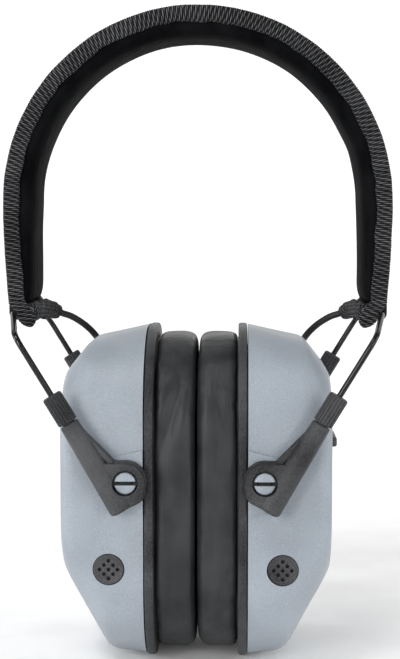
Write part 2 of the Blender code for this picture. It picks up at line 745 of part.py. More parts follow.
def yoke_path():
    """The wire's centre line from the front leg's lower end, over the band's end, to the rear leg's."""
    bend = leg_point((WIRE_BEND_Z - COLLAR_BASE_Z) / math.sin(LEG_ANGLE), -1)
    shoulder = Vector((SWING_X, -WIRE_SHOULDER_Y, SWING_Z))
    corners = [leg_point(-WIRE_IN_SLEEVE, -1), bend, shoulder]
    corners += [Vector((p.x, -p.y, p.z)) for p in reversed(corners)]
    points = [corners[0]]
    for before, here, after in zip(corners, corners[1:], corners[2:]):
        back = (before - here).normalized()
        ahead = (after - here).normalized()
        reach = min(WIRE_BEND_RADIUS / math.tan(back.angle(ahead) / 2), 0.0030)
        start = here + back * reach
        end = here + ahead * reach
        for i in range(6):
            t = i / 5
            points.append(start * (1 - t) ** 2 + here * 2 * t * (1 - t) + end * t ** 2)
    points.append(corners[-1])
    return points


# ---------------------------------------------------------------- headband

def band_frames(side_steps, crown_steps, end_z):
    """Points of the outer surface with their outward directions, from the +X end to the -X end."""
    reach = math.asin((BAND_CENTRE_Z - end_z) / BAND_SIDE_RADIUS)
    side_centre = BAND_RADIUS - BAND_SIDE_RADIUS
    frames = []
    for i in range(side_steps):
        angle = -reach * (1 - i / side_steps)
        x = side_centre + BAND_SIDE_RADIUS * math.cos(angle)
        z = BAND_CENTRE_Z + BAND_SIDE_RADIUS * math.sin(angle)
        frames.append((x, z, math.cos(angle), math.sin(angle)))
    for i in range(crown_steps // 2 + 1):
        angle = math.pi * i / crown_steps
        x = BAND_RADIUS * math.cos(angle)
        z = BAND_CENTRE_Z + BAND_RADIUS * math.sin(angle)
        frames.append((x, z, math.cos(angle), math.sin(angle)))
    return frames + [(-x, z, -nx, nz) for x, z, nx, nz in reversed(frames[:-1])]


def sweep_band(frames, section_at):
    """Loft a section, given as offset and Y, along the band."""
    rings = []
    for x, z, nx, nz in frames:
        rings.append([(x - nx * offset, y, z - nz * offset) for offset, y in section_at(z)])
    return loft(rings)


def headband_cover():
    """The fabric cover: an outer web, and a rolled binding along the front and rear edges."""
    half = BAND_HALF_DEPTH
    inner = half - BINDING_WIDTH
    section = (
        (0.0008, -half), (0.0, -half + 0.0010), (0.0, half - 0.0010), (0.0008, half),
        (BINDING_DEPTH - 0.0006, half), (BINDING_DEPTH, half - 0.0006), (BINDING_DEPTH, inner),
        (COVER_THICKNESS, inner), (COVER_THICKNESS, -inner),
        (BINDING_DEPTH, -inner), (BINDING_DEPTH, -half + 0.0006), (BINDING_DEPTH - 0.0006, -half))
    body = sweep_band(band_frames(3, 28, COVER_END_Z), lambda z: section)
    for side in (-1, 1):
        window = prism(
            ((side * 0.0575, 0.1100), (side * 0.0640, 0.1100), (side * 0.0640, WINDOW_TOP_Z),
             (side * 0.0575, WINDOW_TOP_Z)), -SPRING_HALF_DEPTH - 0.0010, SPRING_HALF_DEPTH + 0.0010)
        body = cut(body, window)
    return body


def headband_pad():
    """The foam pad under the spring, crowned across and thinner towards its ends."""
    def section(z):
        share = min(1.0, max(0.0, (BAND_CENTRE_Z - z) / (BAND_CENTRE_Z - PAD_END_Z)))
        crown = PAD_CROWN + (PAD_END_CROWN - PAD_CROWN) * share
        return (
            (PAD_BACK, PAD_FRONT_Y), (PAD_BACK, PAD_REAR_Y), (crown - 0.0018, PAD_REAR_Y),
            (crown - 0.0004, PAD_REAR_Y - 0.0022), (crown, PAD_REAR_Y - 0.0060), (crown, PAD_FRONT_Y + 0.0070),
            (crown - 0.0004, PAD_FRONT_Y + 0.0030), (crown - 0.0020, PAD_FRONT_Y))
    return sweep_band(band_frames(3, 28, PAD_END_Z), section)


def spring_line():
    """The spring's middle line: the crown, the jog outward near the ends, and the curls."""
    crown = []
    for x, z, nx, nz in band_frames(3, 28, WINDOW_TOP_Z - 0.0006):
        crown.append(Vector((x - nx * SPRING_MIDDLE, z - nz * SPRING_MIDDLE)))
    curl = []
    turns = 12
    for i in range(turns + 1):
        angle = CURL_SWEEP * (i / turns - 1)
        curl.append(Vector((SWING_X + CURL_RADIUS * math.cos(angle), SWING_Z + CURL_RADIUS * math.sin(angle))))
    curl.append(Vector((SWING_X + CURL_RADIUS, JOG_LOW_Z)))
    half = curl + crown[:len(crown) // 2 + 1]
    return half + [Vector((-p.x, p.y)) for p in reversed(half[:-1])]


def headband_spring():
    """The spring strip, with each end curled round the yoke's cross wire."""
    line = spring_line()
    half = SPRING_THICKNESS / 2
    outer = []
    inner = []
    for i, point in enumerate(line):
        before = line[max(0, i - 1)]
        after = line[min(len(line) - 1, i + 1)]
        along = (after - before).normalized()
        normal = Vector((along.y, -along.x))
        outer.append(point + normal * half)
        inner.append(point - normal * half)
    rings = []
    for a, b in zip(outer, inner):
        rings.append([
            (a.x, -SPRING_HALF_DEPTH, a.y), (a.x, SPRING_HALF_DEPTH, a.y),
            (b.x, SPRING_HALF_DEPTH, b.y), (b.x, -SPRING_HALF_DEPTH, b.y)])
    return loft(rings)


def end_flap():
    """The fabric's hanging end under the pad, with the rear corner gathered round the cable."""
    outline = (
        (0.0563, 0.1208), (0.0512, 0.1208), (0.0508, 0.1165), (0.0522, 0.1138), (0.0545, 0.1134),
        (0.0563, 0.1148))
    flap = prism(outline, -0.0182, 0.0182)
    stations = ((0, 0.0020), (0.0012, 0.0028), (0.0068, 0.0028), (0.0080, 0.0018))
    bulge = turned((0.0508, 0.0125, 0.1164), (0, 1, 0), stations, 16)
    channel = tube("channel", smooth_route(FREE_CABLE_ROUTE[:6], 0.0015), CABLE_BORE_RADIUS)
    channel_mesh = bpy.data.meshes.new_from_object(channel)
    bpy.data.objects.remove(channel)
    cutter = bpy.data.objects.new("channel", channel_mesh)
    bpy.context.scene.collection.objects.link(cutter)
    return cut(fuse(flap, bulge), cutter)


# ---------------------------------------------------------------- assembly

def build_headband(root):
    place(headband_spring(), "headband_spring", "black_steel", root)
    place(headband_cover(), "headband_cover", "ribbed_fabric", root)
    place(headband_pad(), "headband_pad", "pad_vinyl", root)
    run = []
    for x, z, nx, nz in band_frames(4, 28, BAND_CABLE_END_Z):
        run.append((x - nx * BAND_CABLE_OFFSET, BAND_CABLE_Y, z - nz * BAND_CABLE_OFFSET))
    place(tube("band_cable", run, CABLE_RADIUS), "band_cable", "cable_rubber", root)


def build_side(side, root):
    word = "right" if side > 0 else "left"
    swing = joint_axis(word + "_swing_axis", (side * SWING_X, 0, SWING_Z), root)
    slide = joint_axis(word + "_height_slide", (side * COLLAR_BASE_X, 0, COLLAR_BASE_Z), swing)
    cup = joint_axis(word + "_cup_axis", (side * PIVOT_X, 0, PIVOT_Z), slide)
    place(end_flap(), word + "_end_flap", "ribbed_fabric", root, side)
    free_run = tube(word, smooth_route(FREE_CABLE_ROUTE, 0.0026), CABLE_RADIUS, side < 0)
    place(free_run, word + "_cable", "cable_rubber", root)
    place(tube(word, yoke_path(), WIRE_RADIUS, side < 0), word + "_yoke", "black_steel", swing)
    for facing, place_word in ((-1, "front"), (1, "rear")):
        place(arm(facing), word + "_" + place_word + "_arm", "dark_plastic", slide, side)
        place(collar(facing), word + "_" + place_word + "_collar", "dark_plastic", slide, side)
        place(pivot_pin(facing), word + "_" + place_word + "_pin", "shell_plastic", cup, side)
    place(base_plate(), word + "_base_plate", "dark_plastic", cup, side)
    place(cushion(), word + "_cushion", "cushion_vinyl", cup, side)
    place(cushion_ring(), word + "_cushion_ring", "dark_plastic", cup, side)
    place(liner_foam(), word + "_liner_foam", "foam", cup, side)
    place(speaker_baffle(), word + "_speaker_baffle", "dark_plastic", cup, side)
    place(speaker(), word + "_speaker", "steel", cup, side)
    place(mic_grille(), word + "_mic_grille", "dark_plastic", cup, side)
    place(mic_capsule(), word + "_mic_capsule", "steel", cup, side)
    place(cable_gland(), word + "_cable_gland", "cable_rubber", cup, side)
    for height, level in zip(SCREW_HEIGHTS, ("_lower_screw", "_upper_screw")):
        place(base_screw(height), word + level, "steel", cup, side)
    return cup


def build_controls(cup):
    place(control_shell(), "right_shell", "shell_plastic", cup)
    place(circuit_board(), "circuit_board", "circuit_green", cup)
    place(volume_control(), "volume_control", "dark_plastic", cup)
    place(audio_jack(), "audio_jack", "dark_plastic", cup)
    dial = joint_axis("volume_axis", (KNOB_RECESS_X, 0, KNOB_Z), cup)
    place(volume_knob(), "volume_knob", "dark_plastic", dial)


def build_battery(cup):
    place(battery_shell(), "left_shell", "shell_plastic", cup, -1)
    place(battery_tray(), "battery_tray", "dark_plastic", cup, -1)
    place(battery_cell(-0.0055), "battery_cell_front", "cell_wrap", cup, -1)
    place(battery_cell(0.0055), "battery_cell_rear", "cell_wrap", cup, -1)
    place(battery_contact(CELL_MIDDLE_Z - 0.0235), "battery_contact_lower", "steel", cup, -1)
    place(battery_contact(CELL_MIDDLE_Z + 0.0235), "battery_contact_upper", "steel", cup, -1)
    hinge = joint_axis("battery_door_axis", (-SHELL_OUTER_X, 0, DOOR_LOW_Z + 0.0006), cup)
    place(battery_door(), "battery_door", "shell_plastic", hinge, -1)


def main():
    for obj in list(bpy.data.objects):
        bpy.data.objects.remove(obj)
    root = joint_axis("headband_frame", (0, 0, 0))
    root.location.z = -DATUM_DROP
    build_headband(root)
    build_controls(build_side(1, root))
    build_battery(build_side(-1, root))


main()
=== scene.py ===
"""The looks of the folding electronic earmuff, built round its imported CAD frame.

Metres, +Z up. Right is +X, and -Y is the front. Like the frame's own source, the shapes below are
drawn above a datum that lies DROP under the resting plane, and each piece is lowered by DROP.
"""

import json
import math

import bmesh
import bpy
from mathutils import Matrix, Vector, noise


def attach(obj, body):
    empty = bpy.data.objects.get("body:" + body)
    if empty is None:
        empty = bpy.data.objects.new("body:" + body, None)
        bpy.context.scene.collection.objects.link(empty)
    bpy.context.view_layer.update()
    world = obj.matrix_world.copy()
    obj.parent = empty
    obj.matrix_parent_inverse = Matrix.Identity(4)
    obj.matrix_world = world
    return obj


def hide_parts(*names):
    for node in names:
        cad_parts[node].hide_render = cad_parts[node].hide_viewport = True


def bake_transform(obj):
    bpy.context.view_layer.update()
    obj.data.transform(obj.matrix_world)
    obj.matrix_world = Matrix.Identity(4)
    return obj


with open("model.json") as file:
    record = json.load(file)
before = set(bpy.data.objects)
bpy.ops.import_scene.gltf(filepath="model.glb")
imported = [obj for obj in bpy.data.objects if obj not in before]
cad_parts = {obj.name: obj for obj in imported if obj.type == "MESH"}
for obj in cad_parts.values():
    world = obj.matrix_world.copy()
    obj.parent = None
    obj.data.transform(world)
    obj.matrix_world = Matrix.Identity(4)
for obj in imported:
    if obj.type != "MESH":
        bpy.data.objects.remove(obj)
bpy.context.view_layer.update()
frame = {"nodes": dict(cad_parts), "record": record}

DROP = 0.0036

# Cup: the stack of cushion, ring, base plate and shell, measured out from the middle plane.
CUSHION_BACK_X = 0.0131
RING_FRONT_X = 0.0120
RING_BACK_X = 0.0134
PLATE_INNER_X = 0.0133
PLATE_OUTER_X = 0.0162
SHELL_INNER_X = 0.0165
SHELL_OUTER_X = 0.0430
CUP_LOW_Z = 0.0036
CUP_HIGH_Z = 0.1130
CUP_HALF_DEPTH = 0.0355
CUP_CORNER_RADIUS = 0.0290
EAR_MIDDLE_Z = 0.0583
PLATE_OPENING = (0.0210, 0.0360)
RING_OPENING = (0.0200, 0.0340)
RING_INSET = 0.0046
SCREW_HEIGHTS = (0.0115, 0.1053)
SCREW_HOLE_RADIUS = 0.00145
SHELL_WALL = 0.0024
SHELL_HALF_DEPTH = 0.0350
SHELL_DRAFT_DEPTH = 0.0343
SHELL_EDGE_RADIUS = 0.0045
SHELL_TOP_CORNERS = (
    (0.0165, 0.1127, 0), (0.0350, 0.1084, 0.006), (0.0430, 0.0980, 0.007), (0.0430, 0.06, 0))
SHELL_BOTTOM_CORNERS = (
    (0.0165, 0.0043, 0), (0.0284, 0.0061, 0.007), (0.0430, 0.0349, 0.006), (0.0430, 0.06, 0))
CAVITY_TOP_CORNERS = (
    (0.0155, 0.1104, 0), (0.0336, 0.1063, 0.004), (0.0406, 0.0972, 0.005), (0.0406, 0.06, 0))
CAVITY_BOTTOM_CORNERS = (
    (0.0155, 0.0065, 0), (0.0267, 0.0083, 0.005), (0.0406, 0.0355, 0.004), (0.0406, 0.06, 0))
PIVOT_X = 0.0216
PIVOT_Z = 0.0668
BOSS_FACE = 0.0362
BOSS_OUTLINE = (
    (0.0165, 0.0560), (0.0245, 0.0570), (0.0290, 0.0620), (0.0290, 0.0700), (0.0262, 0.0738),
    (0.0165, 0.0762))
PIN_BORE_RADIUS = 0.0024
MIC_X = 0.0274
MIC_Z = 0.0381
MIC_SEAT_RADIUS = 0.00505
MIC_RADIUS = 0.0048
MIC_HOLE_PITCH = 0.00142
MIC_HOLE_RADIUS = 0.00062
KNOB_Z = 0.0746
KNOB_SEAT_RADIUS = 0.0107
KNOB_SHAFT_HOLE_RADIUS = 0.0034
JACK_HOLE_RADIUS = 0.0026
CABLE_HOLE_RADIUS = 0.0025
DOOR_BOX = (0.0134, 0.0368, 0.0891)
JACK_POINT = Vector((0.0412, -0.0040, 0.1003))
SLOPE_NORMAL = Vector((0.793, 0.0, 0.610)).normalized()
GLAND_POINT = Vector((0.0349, 0.0210, 0.10435))
GLAND_AXIS = Vector((0.498, 0.434, 0.751)).normalized()

# Headband: offsets count inward from its outer surface.
BAND_RADIUS = 0.0624
BAND_CENTRE_Z = 0.1535
BAND_SIDE_RADIUS = 0.344
COVER_END_Z = 0.1224
WEB_END_Z = 0.1270
PAD_END_Z = 0.1198
RIB_PITCH = 0.00076
RIB_HEIGHT = 0.00011
ROLL_DEPTH = 0.0053
ROLL_MIDDLE_Y = 0.0173
ROLL_HALF_WIDTH = 0.0013

# Arms, with their lobes round the pivot, and the yoke wire in their sleeves.
LOBE_BACK = 0.0365
LOBE_FRONT = 0.0415
PLATE_FRONT = 0.0386
LOBE_RADIUS = 0.00655
LOBE_SHOULDER = (0.0300, 0.0731)
LOBE_HEEL = ((0.0157, 0.0622), (0.0163, 0.0611), (0.0175, 0.0601))
STRUT_FOOT = (0.0250, 0.0733)
STRUT_FRONT = 0.0400
PIN_HEAD_RADIUS = 0.00335
PIN_SHAFT_RADIUS = 0.0021
PIN_SEAT_RADIUS = 0.00395
PIN_SLOT_HALF = 0.00062
COLLAR_LENGTH = 0.0100
COLLAR_RADIUS = 0.00315
COLLAR_RIBS = 18
REAR_ARM_EXTRA = 0.0062
SLEEVE_LENGTH = 0.0321
SLEEVE_END_RADIUS = 0.0039
WIRE_BORE_RADIUS = 0.0013
LEG_Y = 0.0393
LEG_ANGLE = math.radians(58.6)
COLLAR_BASE = (0.0392, 0.0853)
SWING_X = 0.0590
SWING_Z = 0.1176
WIRE_RADIUS = 0.00095
WIRE_SHOULDER_Y = 0.0205
WIRE_BEND_Z = 0.1122
WIRE_BEND_RADIUS = 0.0070
WIRE_BEND_REACH = 0.0040
WIRE_IN_SLEEVE = 0.0170

# Cable between the cups.
CABLE_RADIUS = 0.00115
BAND_CABLE_OFFSET = 0.0044
BAND_CABLE_Y = 0.0154
FREE_CABLE_ROUTE = (
    (0.05715, 0.0154, 0.1229), (0.05640, 0.0157, 0.1206), (0.05420, 0.0162, 0.1184),
    (0.05100, 0.0168, 0.1170), (0.04820, 0.0176, 0.1155), (0.04500, 0.0186, 0.1143),
    (0.04140, 0.0200, 0.1120), (0.03860, 0.0217, 0.1094), (0.03664, 0.0225, 0.10698),
    (0.03490, 0.0210, 0.10435), (0.03266, 0.01905, 0.10097), (0.03140, 0.01796, 0.09909),
)

# Camera: the direction, distance and lens of the reference view.
VIEW_AZIMUTH = math.radians(1.6)
VIEW_ELEVATION = math.radians(4.6)
VIEW_DISTANCE = 0.475
VIEW_TARGET = Vector((0.00045, 0.0, 0.1076))
VIEW_LENS = 77.57


# -------------------- stage

def make_camera():
    camera = bpy.data.cameras.new("camera")
    holder = add_object("camera", camera)
    level = math.cos(VIEW_ELEVATION)
    back = Vector((math.sin(VIEW_AZIMUTH) * level, -math.cos(VIEW_AZIMUTH) * level, math.sin(VIEW_ELEVATION)))
    holder.location = VIEW_TARGET + back * VIEW_DISTANCE
    holder.rotation_euler = (-back).to_track_quat("-Z", "Y").to_euler()
    camera.sensor_width = 36
    camera.lens = VIEW_LENS
    camera.clip_start = 0.01
    bpy.context.scene.camera = holder


def area_light(name, place, power, size, turn=None):
    light = bpy.data.lights.new(name, "AREA")
    light.shape = "RECTANGLE"
    light.size, light.size_y = size
    light.energy = power
    holder = add_object(name, light)
    holder.location = place
    aim = Vector((0, 0, 0.11)) - Vector(place)
    holder.rotation_euler = turn or aim.to_track_quat("-Z", "Y").to_euler()


def make_stage():
    """A pale paper floor that curves up behind the object, and soft light from large panels."""
    scene = bpy.context.scene
    scene.view_settings.view_transform = "Standard"
    world = bpy.data.worlds.new("studio")
    scene.world = world
    world.use_nodes = True
    background = world.node_tree.nodes["Background"]
    background.inputs["Color"].default_value = (1.0, 1.0, 1.0, 1)
    background.inputs["Strength"].default_value = 0.24
    area_light("key_light", (-0.55, -0.90, 0.30), 6.2, (0.30, 0.50))
    area_light("fill_light", (0.60, -0.90, 0.25), 3.8, (0.30, 0.50))
    area_light("right_light", (0.95, -0.10, 0.22), 5.0, (0.25, 0.6))
    area_light("left_light", (-0.95, -0.10, 0.22), 5.0, (0.25, 0.6))
    area_light("top_light", (-0.30, -0.45, 0.90), 3.0, (0.25, 0.20))
    area_light("back_light", (0.0, 0.45, 1.30), 22.0, (2.4, 0.4), turn=(math.radians(58), 0, 0))
    profile = [(-3.0, 0.0), (0.9, 0.0)] + arc((0.9, 0.9), 0.9, -math.pi / 2, 0.0, 24) + [(1.8, 4.0)]
    points = [(x, y, z) for y, z in profile for x in (-4.0, 4.0)]
    faces = [(i, i + 1, i + 3, i + 2) for i in range(0, len(points) - 2, 2)]
    mesh = bpy.data.meshes.new("floor")
    mesh.from_pydata(points, [], faces)
    floor = add_object("floor", mesh)
    smooth(floor, 60)
    floor.data.materials.append(paint("floor_paper", (0.90, 0.90, 0.90), (0.93, 0.93, 0.93), 0.9, 0.02, 0.0))


# -------------------- materials

class Nodes:
    """A material's node tree, with short calls for the nodes used here."""

    def __init__(self, name):
        self.material = bpy.data.materials.new(name)
        self.material.use_nodes = True
        self.tree = self.material.node_tree
        self.shader = self.tree.nodes["Principled BSDF"]

    def add(self, kind, **settings):
        node = self.tree.nodes.new(kind)
        for key, value in settings.items():
            setattr(node, key, value)
        return node

    def join(self, source, target):
        self.tree.links.new(source, target)

    def place(self):
        return self.add("ShaderNodeTexCoord").outputs["Object"]

    def noise(self, size, detail=3.0, place=None):
        """Noise with features of a size given in metres."""
        node = self.add("ShaderNodeTexNoise")
        node.inputs["Scale"].default_value = 1.0 / size
        node.inputs["Detail"].default_value = detail
        self.join(place or self.place(), node.inputs["Vector"])
        return node.outputs["Fac"]

    def math(self, operation, first, second=None):
        node = self.add("ShaderNodeMath", operation=operation)
        for slot, value in zip(node.inputs, (first, second)):
            if value is None:
                continue
            if isinstance(value, (int, float)):
                slot.default_value = value
            else:
                self.join(value, slot)
        return node.outputs[0]

    def spread(self, value, low, high, start=0.3, end=0.7):
        node = self.add("ShaderNodeMapRange")
        self.join(value, node.inputs["Value"])
        for key, number in (("From Min", start), ("From Max", end), ("To Min", low), ("To Max", high)):
            node.inputs[key].default_value = number
        return node.outputs[0]

    def mix(self, factor, first, second):
        node = self.add("ShaderNodeMix", data_type="RGBA")
        self.join(factor, node.inputs[0])
        node.inputs[6].default_value = (*first, 1)
        node.inputs[7].default_value = (*second, 1)
        return node.outputs[2]

    def bump(self, height, depth, below=None, strength=1.0):
        node = self.add("ShaderNodeBump")
        node.inputs["Strength"].default_value = strength
        node.inputs["Distance"].default_value = depth
        self.join(height, node.inputs["Height"])
        if below is not None:
            self.join(below, node.inputs["Normal"])
        return node.outputs["Normal"]

    def finish(self, colour, roughness, normal=None, metallic=0.0, **numbers):
        self.join(colour, self.shader.inputs["Base Color"])
        if isinstance(roughness, float):
            self.shader.inputs["Roughness"].default_value = roughness
        else:
            self.join(roughness, self.shader.inputs["Roughness"])
        if normal is not None:
            self.join(normal, self.shader.inputs["Normal"])
        self.shader.inputs["Metallic"].default_value = metallic
        for key, number in numbers.items():
            self.shader.inputs[key.replace("_", " ")].default_value = number
        return self.material


def paint(name, dark, light, roughness, grain, depth, blotch=0.02, **numbers):
    """A moulded or coated surface: fine grain in bump and colour over a slow change of tone."""
    nodes = Nodes(name)
    fine = nodes.noise(grain, 2.0)
    slow = nodes.noise(blotch, 2.0)
    tone = nodes.math("ADD", nodes.math("MULTIPLY", fine, 0.45), nodes.math("MULTIPLY", slow, 0.55))
    colour = nodes.mix(nodes.spread(tone, 0.0, 1.0, 0.36, 0.64), dark, light)
    rough = nodes.spread(fine, roughness - 0.06, roughness + 0.08)
    normal = nodes.bump(fine, depth) if depth else None
    return nodes.finish(colour, rough, normal, **numbers)


def vinyl(name, dark, light, roughness, crease_depth, shine):
    """Soft coated fabric: fine leather grain, faint stretch marks and slow creases."""
    nodes = Nodes(name)
    cells = nodes.add("ShaderNodeTexVoronoi", feature="DISTANCE_TO_EDGE")
    cells.inputs["Scale"].default_value = 1700
    nodes.join(nodes.place(), cells.inputs["Vector"])
    grain = nodes.spread(cells.outputs["Distance"], 0.0, 1.0, 0.0, 0.22)
    slow = nodes.noise(0.011, 3.0)
    stretched = nodes.add("ShaderNodeMapping")
    stretched.inputs["Scale"].default_value = (1.0, 1.0, 0.22)
    nodes.join(nodes.place(), stretched.inputs["Vector"])
    marks = nodes.noise(0.004, 2.0, stretched.outputs[0])
    tone = nodes.math("ADD", nodes.math("MULTIPLY", slow, 0.7), nodes.math("MULTIPLY", marks, 0.3))
    colour = nodes.mix(nodes.spread(tone, 0.0, 1.0, 0.38, 0.62), dark, light)
    rough = nodes.spread(slow, roughness - 0.05, roughness + 0.08)
    creased = nodes.bump(marks, crease_depth, strength=0.6)
    normal = nodes.bump(grain, 0.00003, creased, 0.7)
    return nodes.finish(colour, rough, normal, Specular_IOR_Level=shine)


def ribbed_knit(name):
    """Knitted cover: ribs across the band, each rib a row of small stitches, with a little fuzz. The colour
    follows the rib and stitch height: painted shade near black in the grooves and painted highlight on the
    crests, over a slow random change of tone.
    """
    nodes = Nodes(name)
    parts = nodes.add("ShaderNodeSeparateXYZ")
    nodes.join(nodes.add("ShaderNodeUVMap", uv_map="weave").outputs["UV"], parts.inputs[0])
    wander = nodes.math("MULTIPLY", nodes.noise(0.0016, 2.0), 0.00030)
    along = nodes.math("ADD", parts.outputs["X"], wander)
    ribs = nodes.math("SINE", nodes.math("MULTIPLY", along, math.tau / RIB_PITCH))
    slanted = nodes.math("ADD", parts.outputs["Y"], nodes.math("MULTIPLY", along, 0.5))
    stitches = nodes.math("SINE", nodes.math("MULTIPLY", slanted, math.tau / 0.00086))
    crossed = nodes.math("ADD", nodes.math("MULTIPLY", ribs, 0.48), nodes.math("MULTIPLY", stitches, 0.38))
    fuzz = nodes.noise(0.00022, 3.0)
    height = nodes.math("ADD", crossed, nodes.math("MULTIPLY", fuzz, 0.9))
    slow = nodes.noise(0.012, 2.0)
    # painted shade and highlight: the tone runs from near black in the grooves to light on the crests, plus a
    # slow random tone
    tone = nodes.math("ADD", nodes.spread(height, -0.15, 0.85, 0.35, 1.15), nodes.spread(slow, -0.12, 0.14))
    colour = nodes.mix(tone, (0.0003, 0.0003, 0.0005), (0.185, 0.187, 0.198))
    normal = nodes.bump(height, 0.00042)
    return nodes.finish(colour, 0.62, normal, Specular_IOR_Level=0.16)


def open_foam(name):
    nodes = Nodes(name)
    cells = nodes.add("ShaderNodeTexVoronoi")
    cells.inputs["Scale"].default_value = 900
    nodes.join(nodes.place(), cells.inputs["Vector"])
    # the pits are also coloured darker than the cell walls: painted shade in the pores
    hole = nodes.spread(cells.outputs["Distance"], 0.0, 1.0, 0.15, 0.6)
    colour = nodes.mix(hole, (0.004, 0.004, 0.004), (0.040, 0.040, 0.043))
    return nodes.finish(colour, 0.95, nodes.bump(hole, 0.0004))


def brushed(name):
    nodes = Nodes(name)
    stretched = nodes.add("ShaderNodeMapping")
    stretched.inputs["Scale"].default_value = (0.04, 1.0, 1.0)
    nodes.join(nodes.place(), stretched.inputs["Vector"])
    lines = nodes.noise(0.00025, 3.0, stretched.outputs[0])
    colour = nodes.mix(nodes.spread(lines, 0.0, 1.0), (0.42, 0.42, 0.43), (0.66, 0.66, 0.67))
    return nodes.finish(colour, nodes.spread(lines, 0.24, 0.40), nodes.bump(lines, 0.00002), 1.0)


def board(name):
    """Solder mask over fine tracks, with bare pads between them."""
    nodes = Nodes(name)
    tracks = nodes.add("ShaderNodeTexBrick")
    tracks.inputs["Scale"].default_value = 220
    tracks.inputs["Mortar Size"].default_value = 0.06
    greens = {"Color1": (0.010, 0.10, 0.035), "Color2": (0.014, 0.14, 0.05), "Mortar": (0.05, 0.24, 0.09)}
    for key, colour in greens.items():
        tracks.inputs[key].default_value = (*colour, 1)
    upright = nodes.add("ShaderNodeMapping")
    upright.inputs["Rotation"].default_value = (0, math.pi / 2, 0)
    nodes.join(nodes.place(), upright.inputs["Vector"])
    nodes.join(upright.outputs[0], tracks.inputs["Vector"])
    return nodes.finish(tracks.outputs["Color"], 0.35, nodes.bump(tracks.outputs["Fac"], 0.00004))


def make_materials():
    return {
        "shell_plastic": paint(
            "shell_plastic", (0.205, 0.232, 0.264), (0.300, 0.334, 0.376), 0.40, 0.00040, 0.00011,
            blotch=0.03),
        "dark_plastic": paint(
            "dark_plastic", (0.001, 0.001, 0.002), (0.062, 0.063, 0.067), 0.42, 0.00036, 0.00022,
            Specular_IOR_Level=0.28),
        "cushion_vinyl": vinyl(
            "cushion_vinyl", (0.014, 0.015, 0.016), (0.031, 0.032, 0.034), 0.42, 0.0007, 0.26),
        "pad_vinyl": vinyl(
            "pad_vinyl", (0.0022, 0.0023, 0.0027), (0.0058, 0.0060, 0.0067), 0.60, 0.0008, 0.01),
        "ribbed_fabric": ribbed_knit("ribbed_fabric"),
        "black_steel": paint(
            "black_steel", (0.001, 0.001, 0.001), (0.004, 0.004, 0.004), 0.17, 0.0009, 0.00001,
            Specular_IOR_Level=0.38),
        "cable_rubber": paint(
            "cable_rubber", (0.006, 0.006, 0.007), (0.014, 0.014, 0.015), 0.44, 0.0004, 0.00003,
            Specular_IOR_Level=0.28),
        "foam": open_foam("foam"),
        "steel": brushed("steel"),
        "circuit_green": board("circuit_green"),
        "cell_wrap": paint("cell_wrap", (0.16, 0.16, 0.18), (0.24, 0.24, 0.26), 0.30, 0.0015, 0.00001),
    }


# -------------------- mesh work

def add_object(name, data):
    obj = bpy.data.objects.new(name, data)
    bpy.context.scene.collection.objects.link(obj)
    return obj


def tidy_normals(mesh):
    bm = bmesh.new()
    bm.from_mesh(mesh)
    bmesh.ops.recalc_face_normals(bm, faces=bm.faces)
    bm.to_mesh(mesh)
    bm.free()


def loft(name, rings, closed=False):
    """A skin through rings of equally many points, capped unless it is closed; weave map in metres."""
    count = len(rings[0])
    points = [Vector(point) for ring in rings for point in ring]
    faces = []
    marks = []
    run = 0.0
    girth = [0.0]
    for i in range(count):
        girth.append(girth[-1] + (points[(i + 1) % count] - points[i]).length)
    last = len(rings) if closed else len(rings) - 1
    for r in range(last):
        here = r * count
        there = (r + 1) % len(rings) * count
        step = sum((points[there + i] - points[here + i]).length for i in range(count)) / count
        for i in range(count):
            j = (i + 1) % count
            faces.append((here + i, here + j, there + j, there + i))
            ahead = run + step
            marks += [(run, girth[i]), (run, girth[i + 1]), (ahead, girth[i + 1]), (ahead, girth[i])]
        run += step
    if not closed:
        faces.append(tuple(range(count)))
        faces.append(tuple(last * count + i for i in reversed(range(count))))
        marks += [(0.0, 0.0)] * count + [(run, 0.0)] * count
    mesh = bpy.data.meshes.new(name)
    mesh.from_pydata([tuple(p) for p in points], [], faces)
    weave = mesh.uv_layers.new(name="weave")
    for slot, mark in zip(weave.data, marks):
        slot.uv = mark
    tidy_normals(mesh)
    return add_object(name, mesh)


def prism(outline, y_near, y_far):
    return loft("prism", [[(x, y, z) for x, z in outline] for y in (y_near, y_far)])


def frame_along(axis):
    helper = Vector((0, 1, 0)) if abs(axis.y) < 0.9 else Vector((1, 0, 0))
    across = axis.cross(helper).normalized()
    return across, axis.cross(across)


def spokes(axis, count):
    """Unit directions all round an axis."""
    across, up = frame_along(axis)
    angles = [math.tau * i / count for i in range(count)]
    return [across * math.cos(a) + up * math.sin(a) for a in angles]


def rod(start, end, radius, sides=48):
    start = Vector(start)
    end = Vector(end)
    ring = [spoke * radius for spoke in spokes((end - start).normalized(), sides)]
    return loft("rod", [[centre + point for point in ring] for centre in (start, end)])


def arc(centre, radius, first, last, steps):
    angles = [first + (last - first) * i / steps for i in range(steps + 1)]
    return [(centre[0] + radius * math.cos(a), centre[1] + radius * math.sin(a)) for a in angles]


def bend(start, corner, end, steps):
    """A smooth curve from start to end that leans toward a corner."""
    shares = [i / steps for i in range(steps + 1)]
    return [start * (1 - t) ** 2 + corner * 2 * t * (1 - t) + end * t ** 2 for t in shares]


def rounded_chain(corners):
    """A chain of lines through corners given as two coordinates and a rounding radius."""
    points = [corners[0][:2]]
    for before, corner, after in zip(corners, corners[1:], corners[2:]):
        here = Vector(corner[:2])
        back = (Vector(before[:2]) - here).normalized()
        ahead = (Vector(after[:2]) - here).normalized()
        reach = corner[2] / math.tan(back.angle(ahead) / 2)
        points += [tuple(point) for point in bend(here + back * reach, here, here + ahead * reach, 8)]
    points.append(corners[-1][:2])
    return points


def height_at(chain, x):
    for (x0, z0), (x1, z1) in zip(chain, chain[1:]):
        if x1 >= x - 1e-9 and x1 > x0:
            return z0 + (z1 - z0) * (x - x0) / (x1 - x0)
    return chain[-1][1]


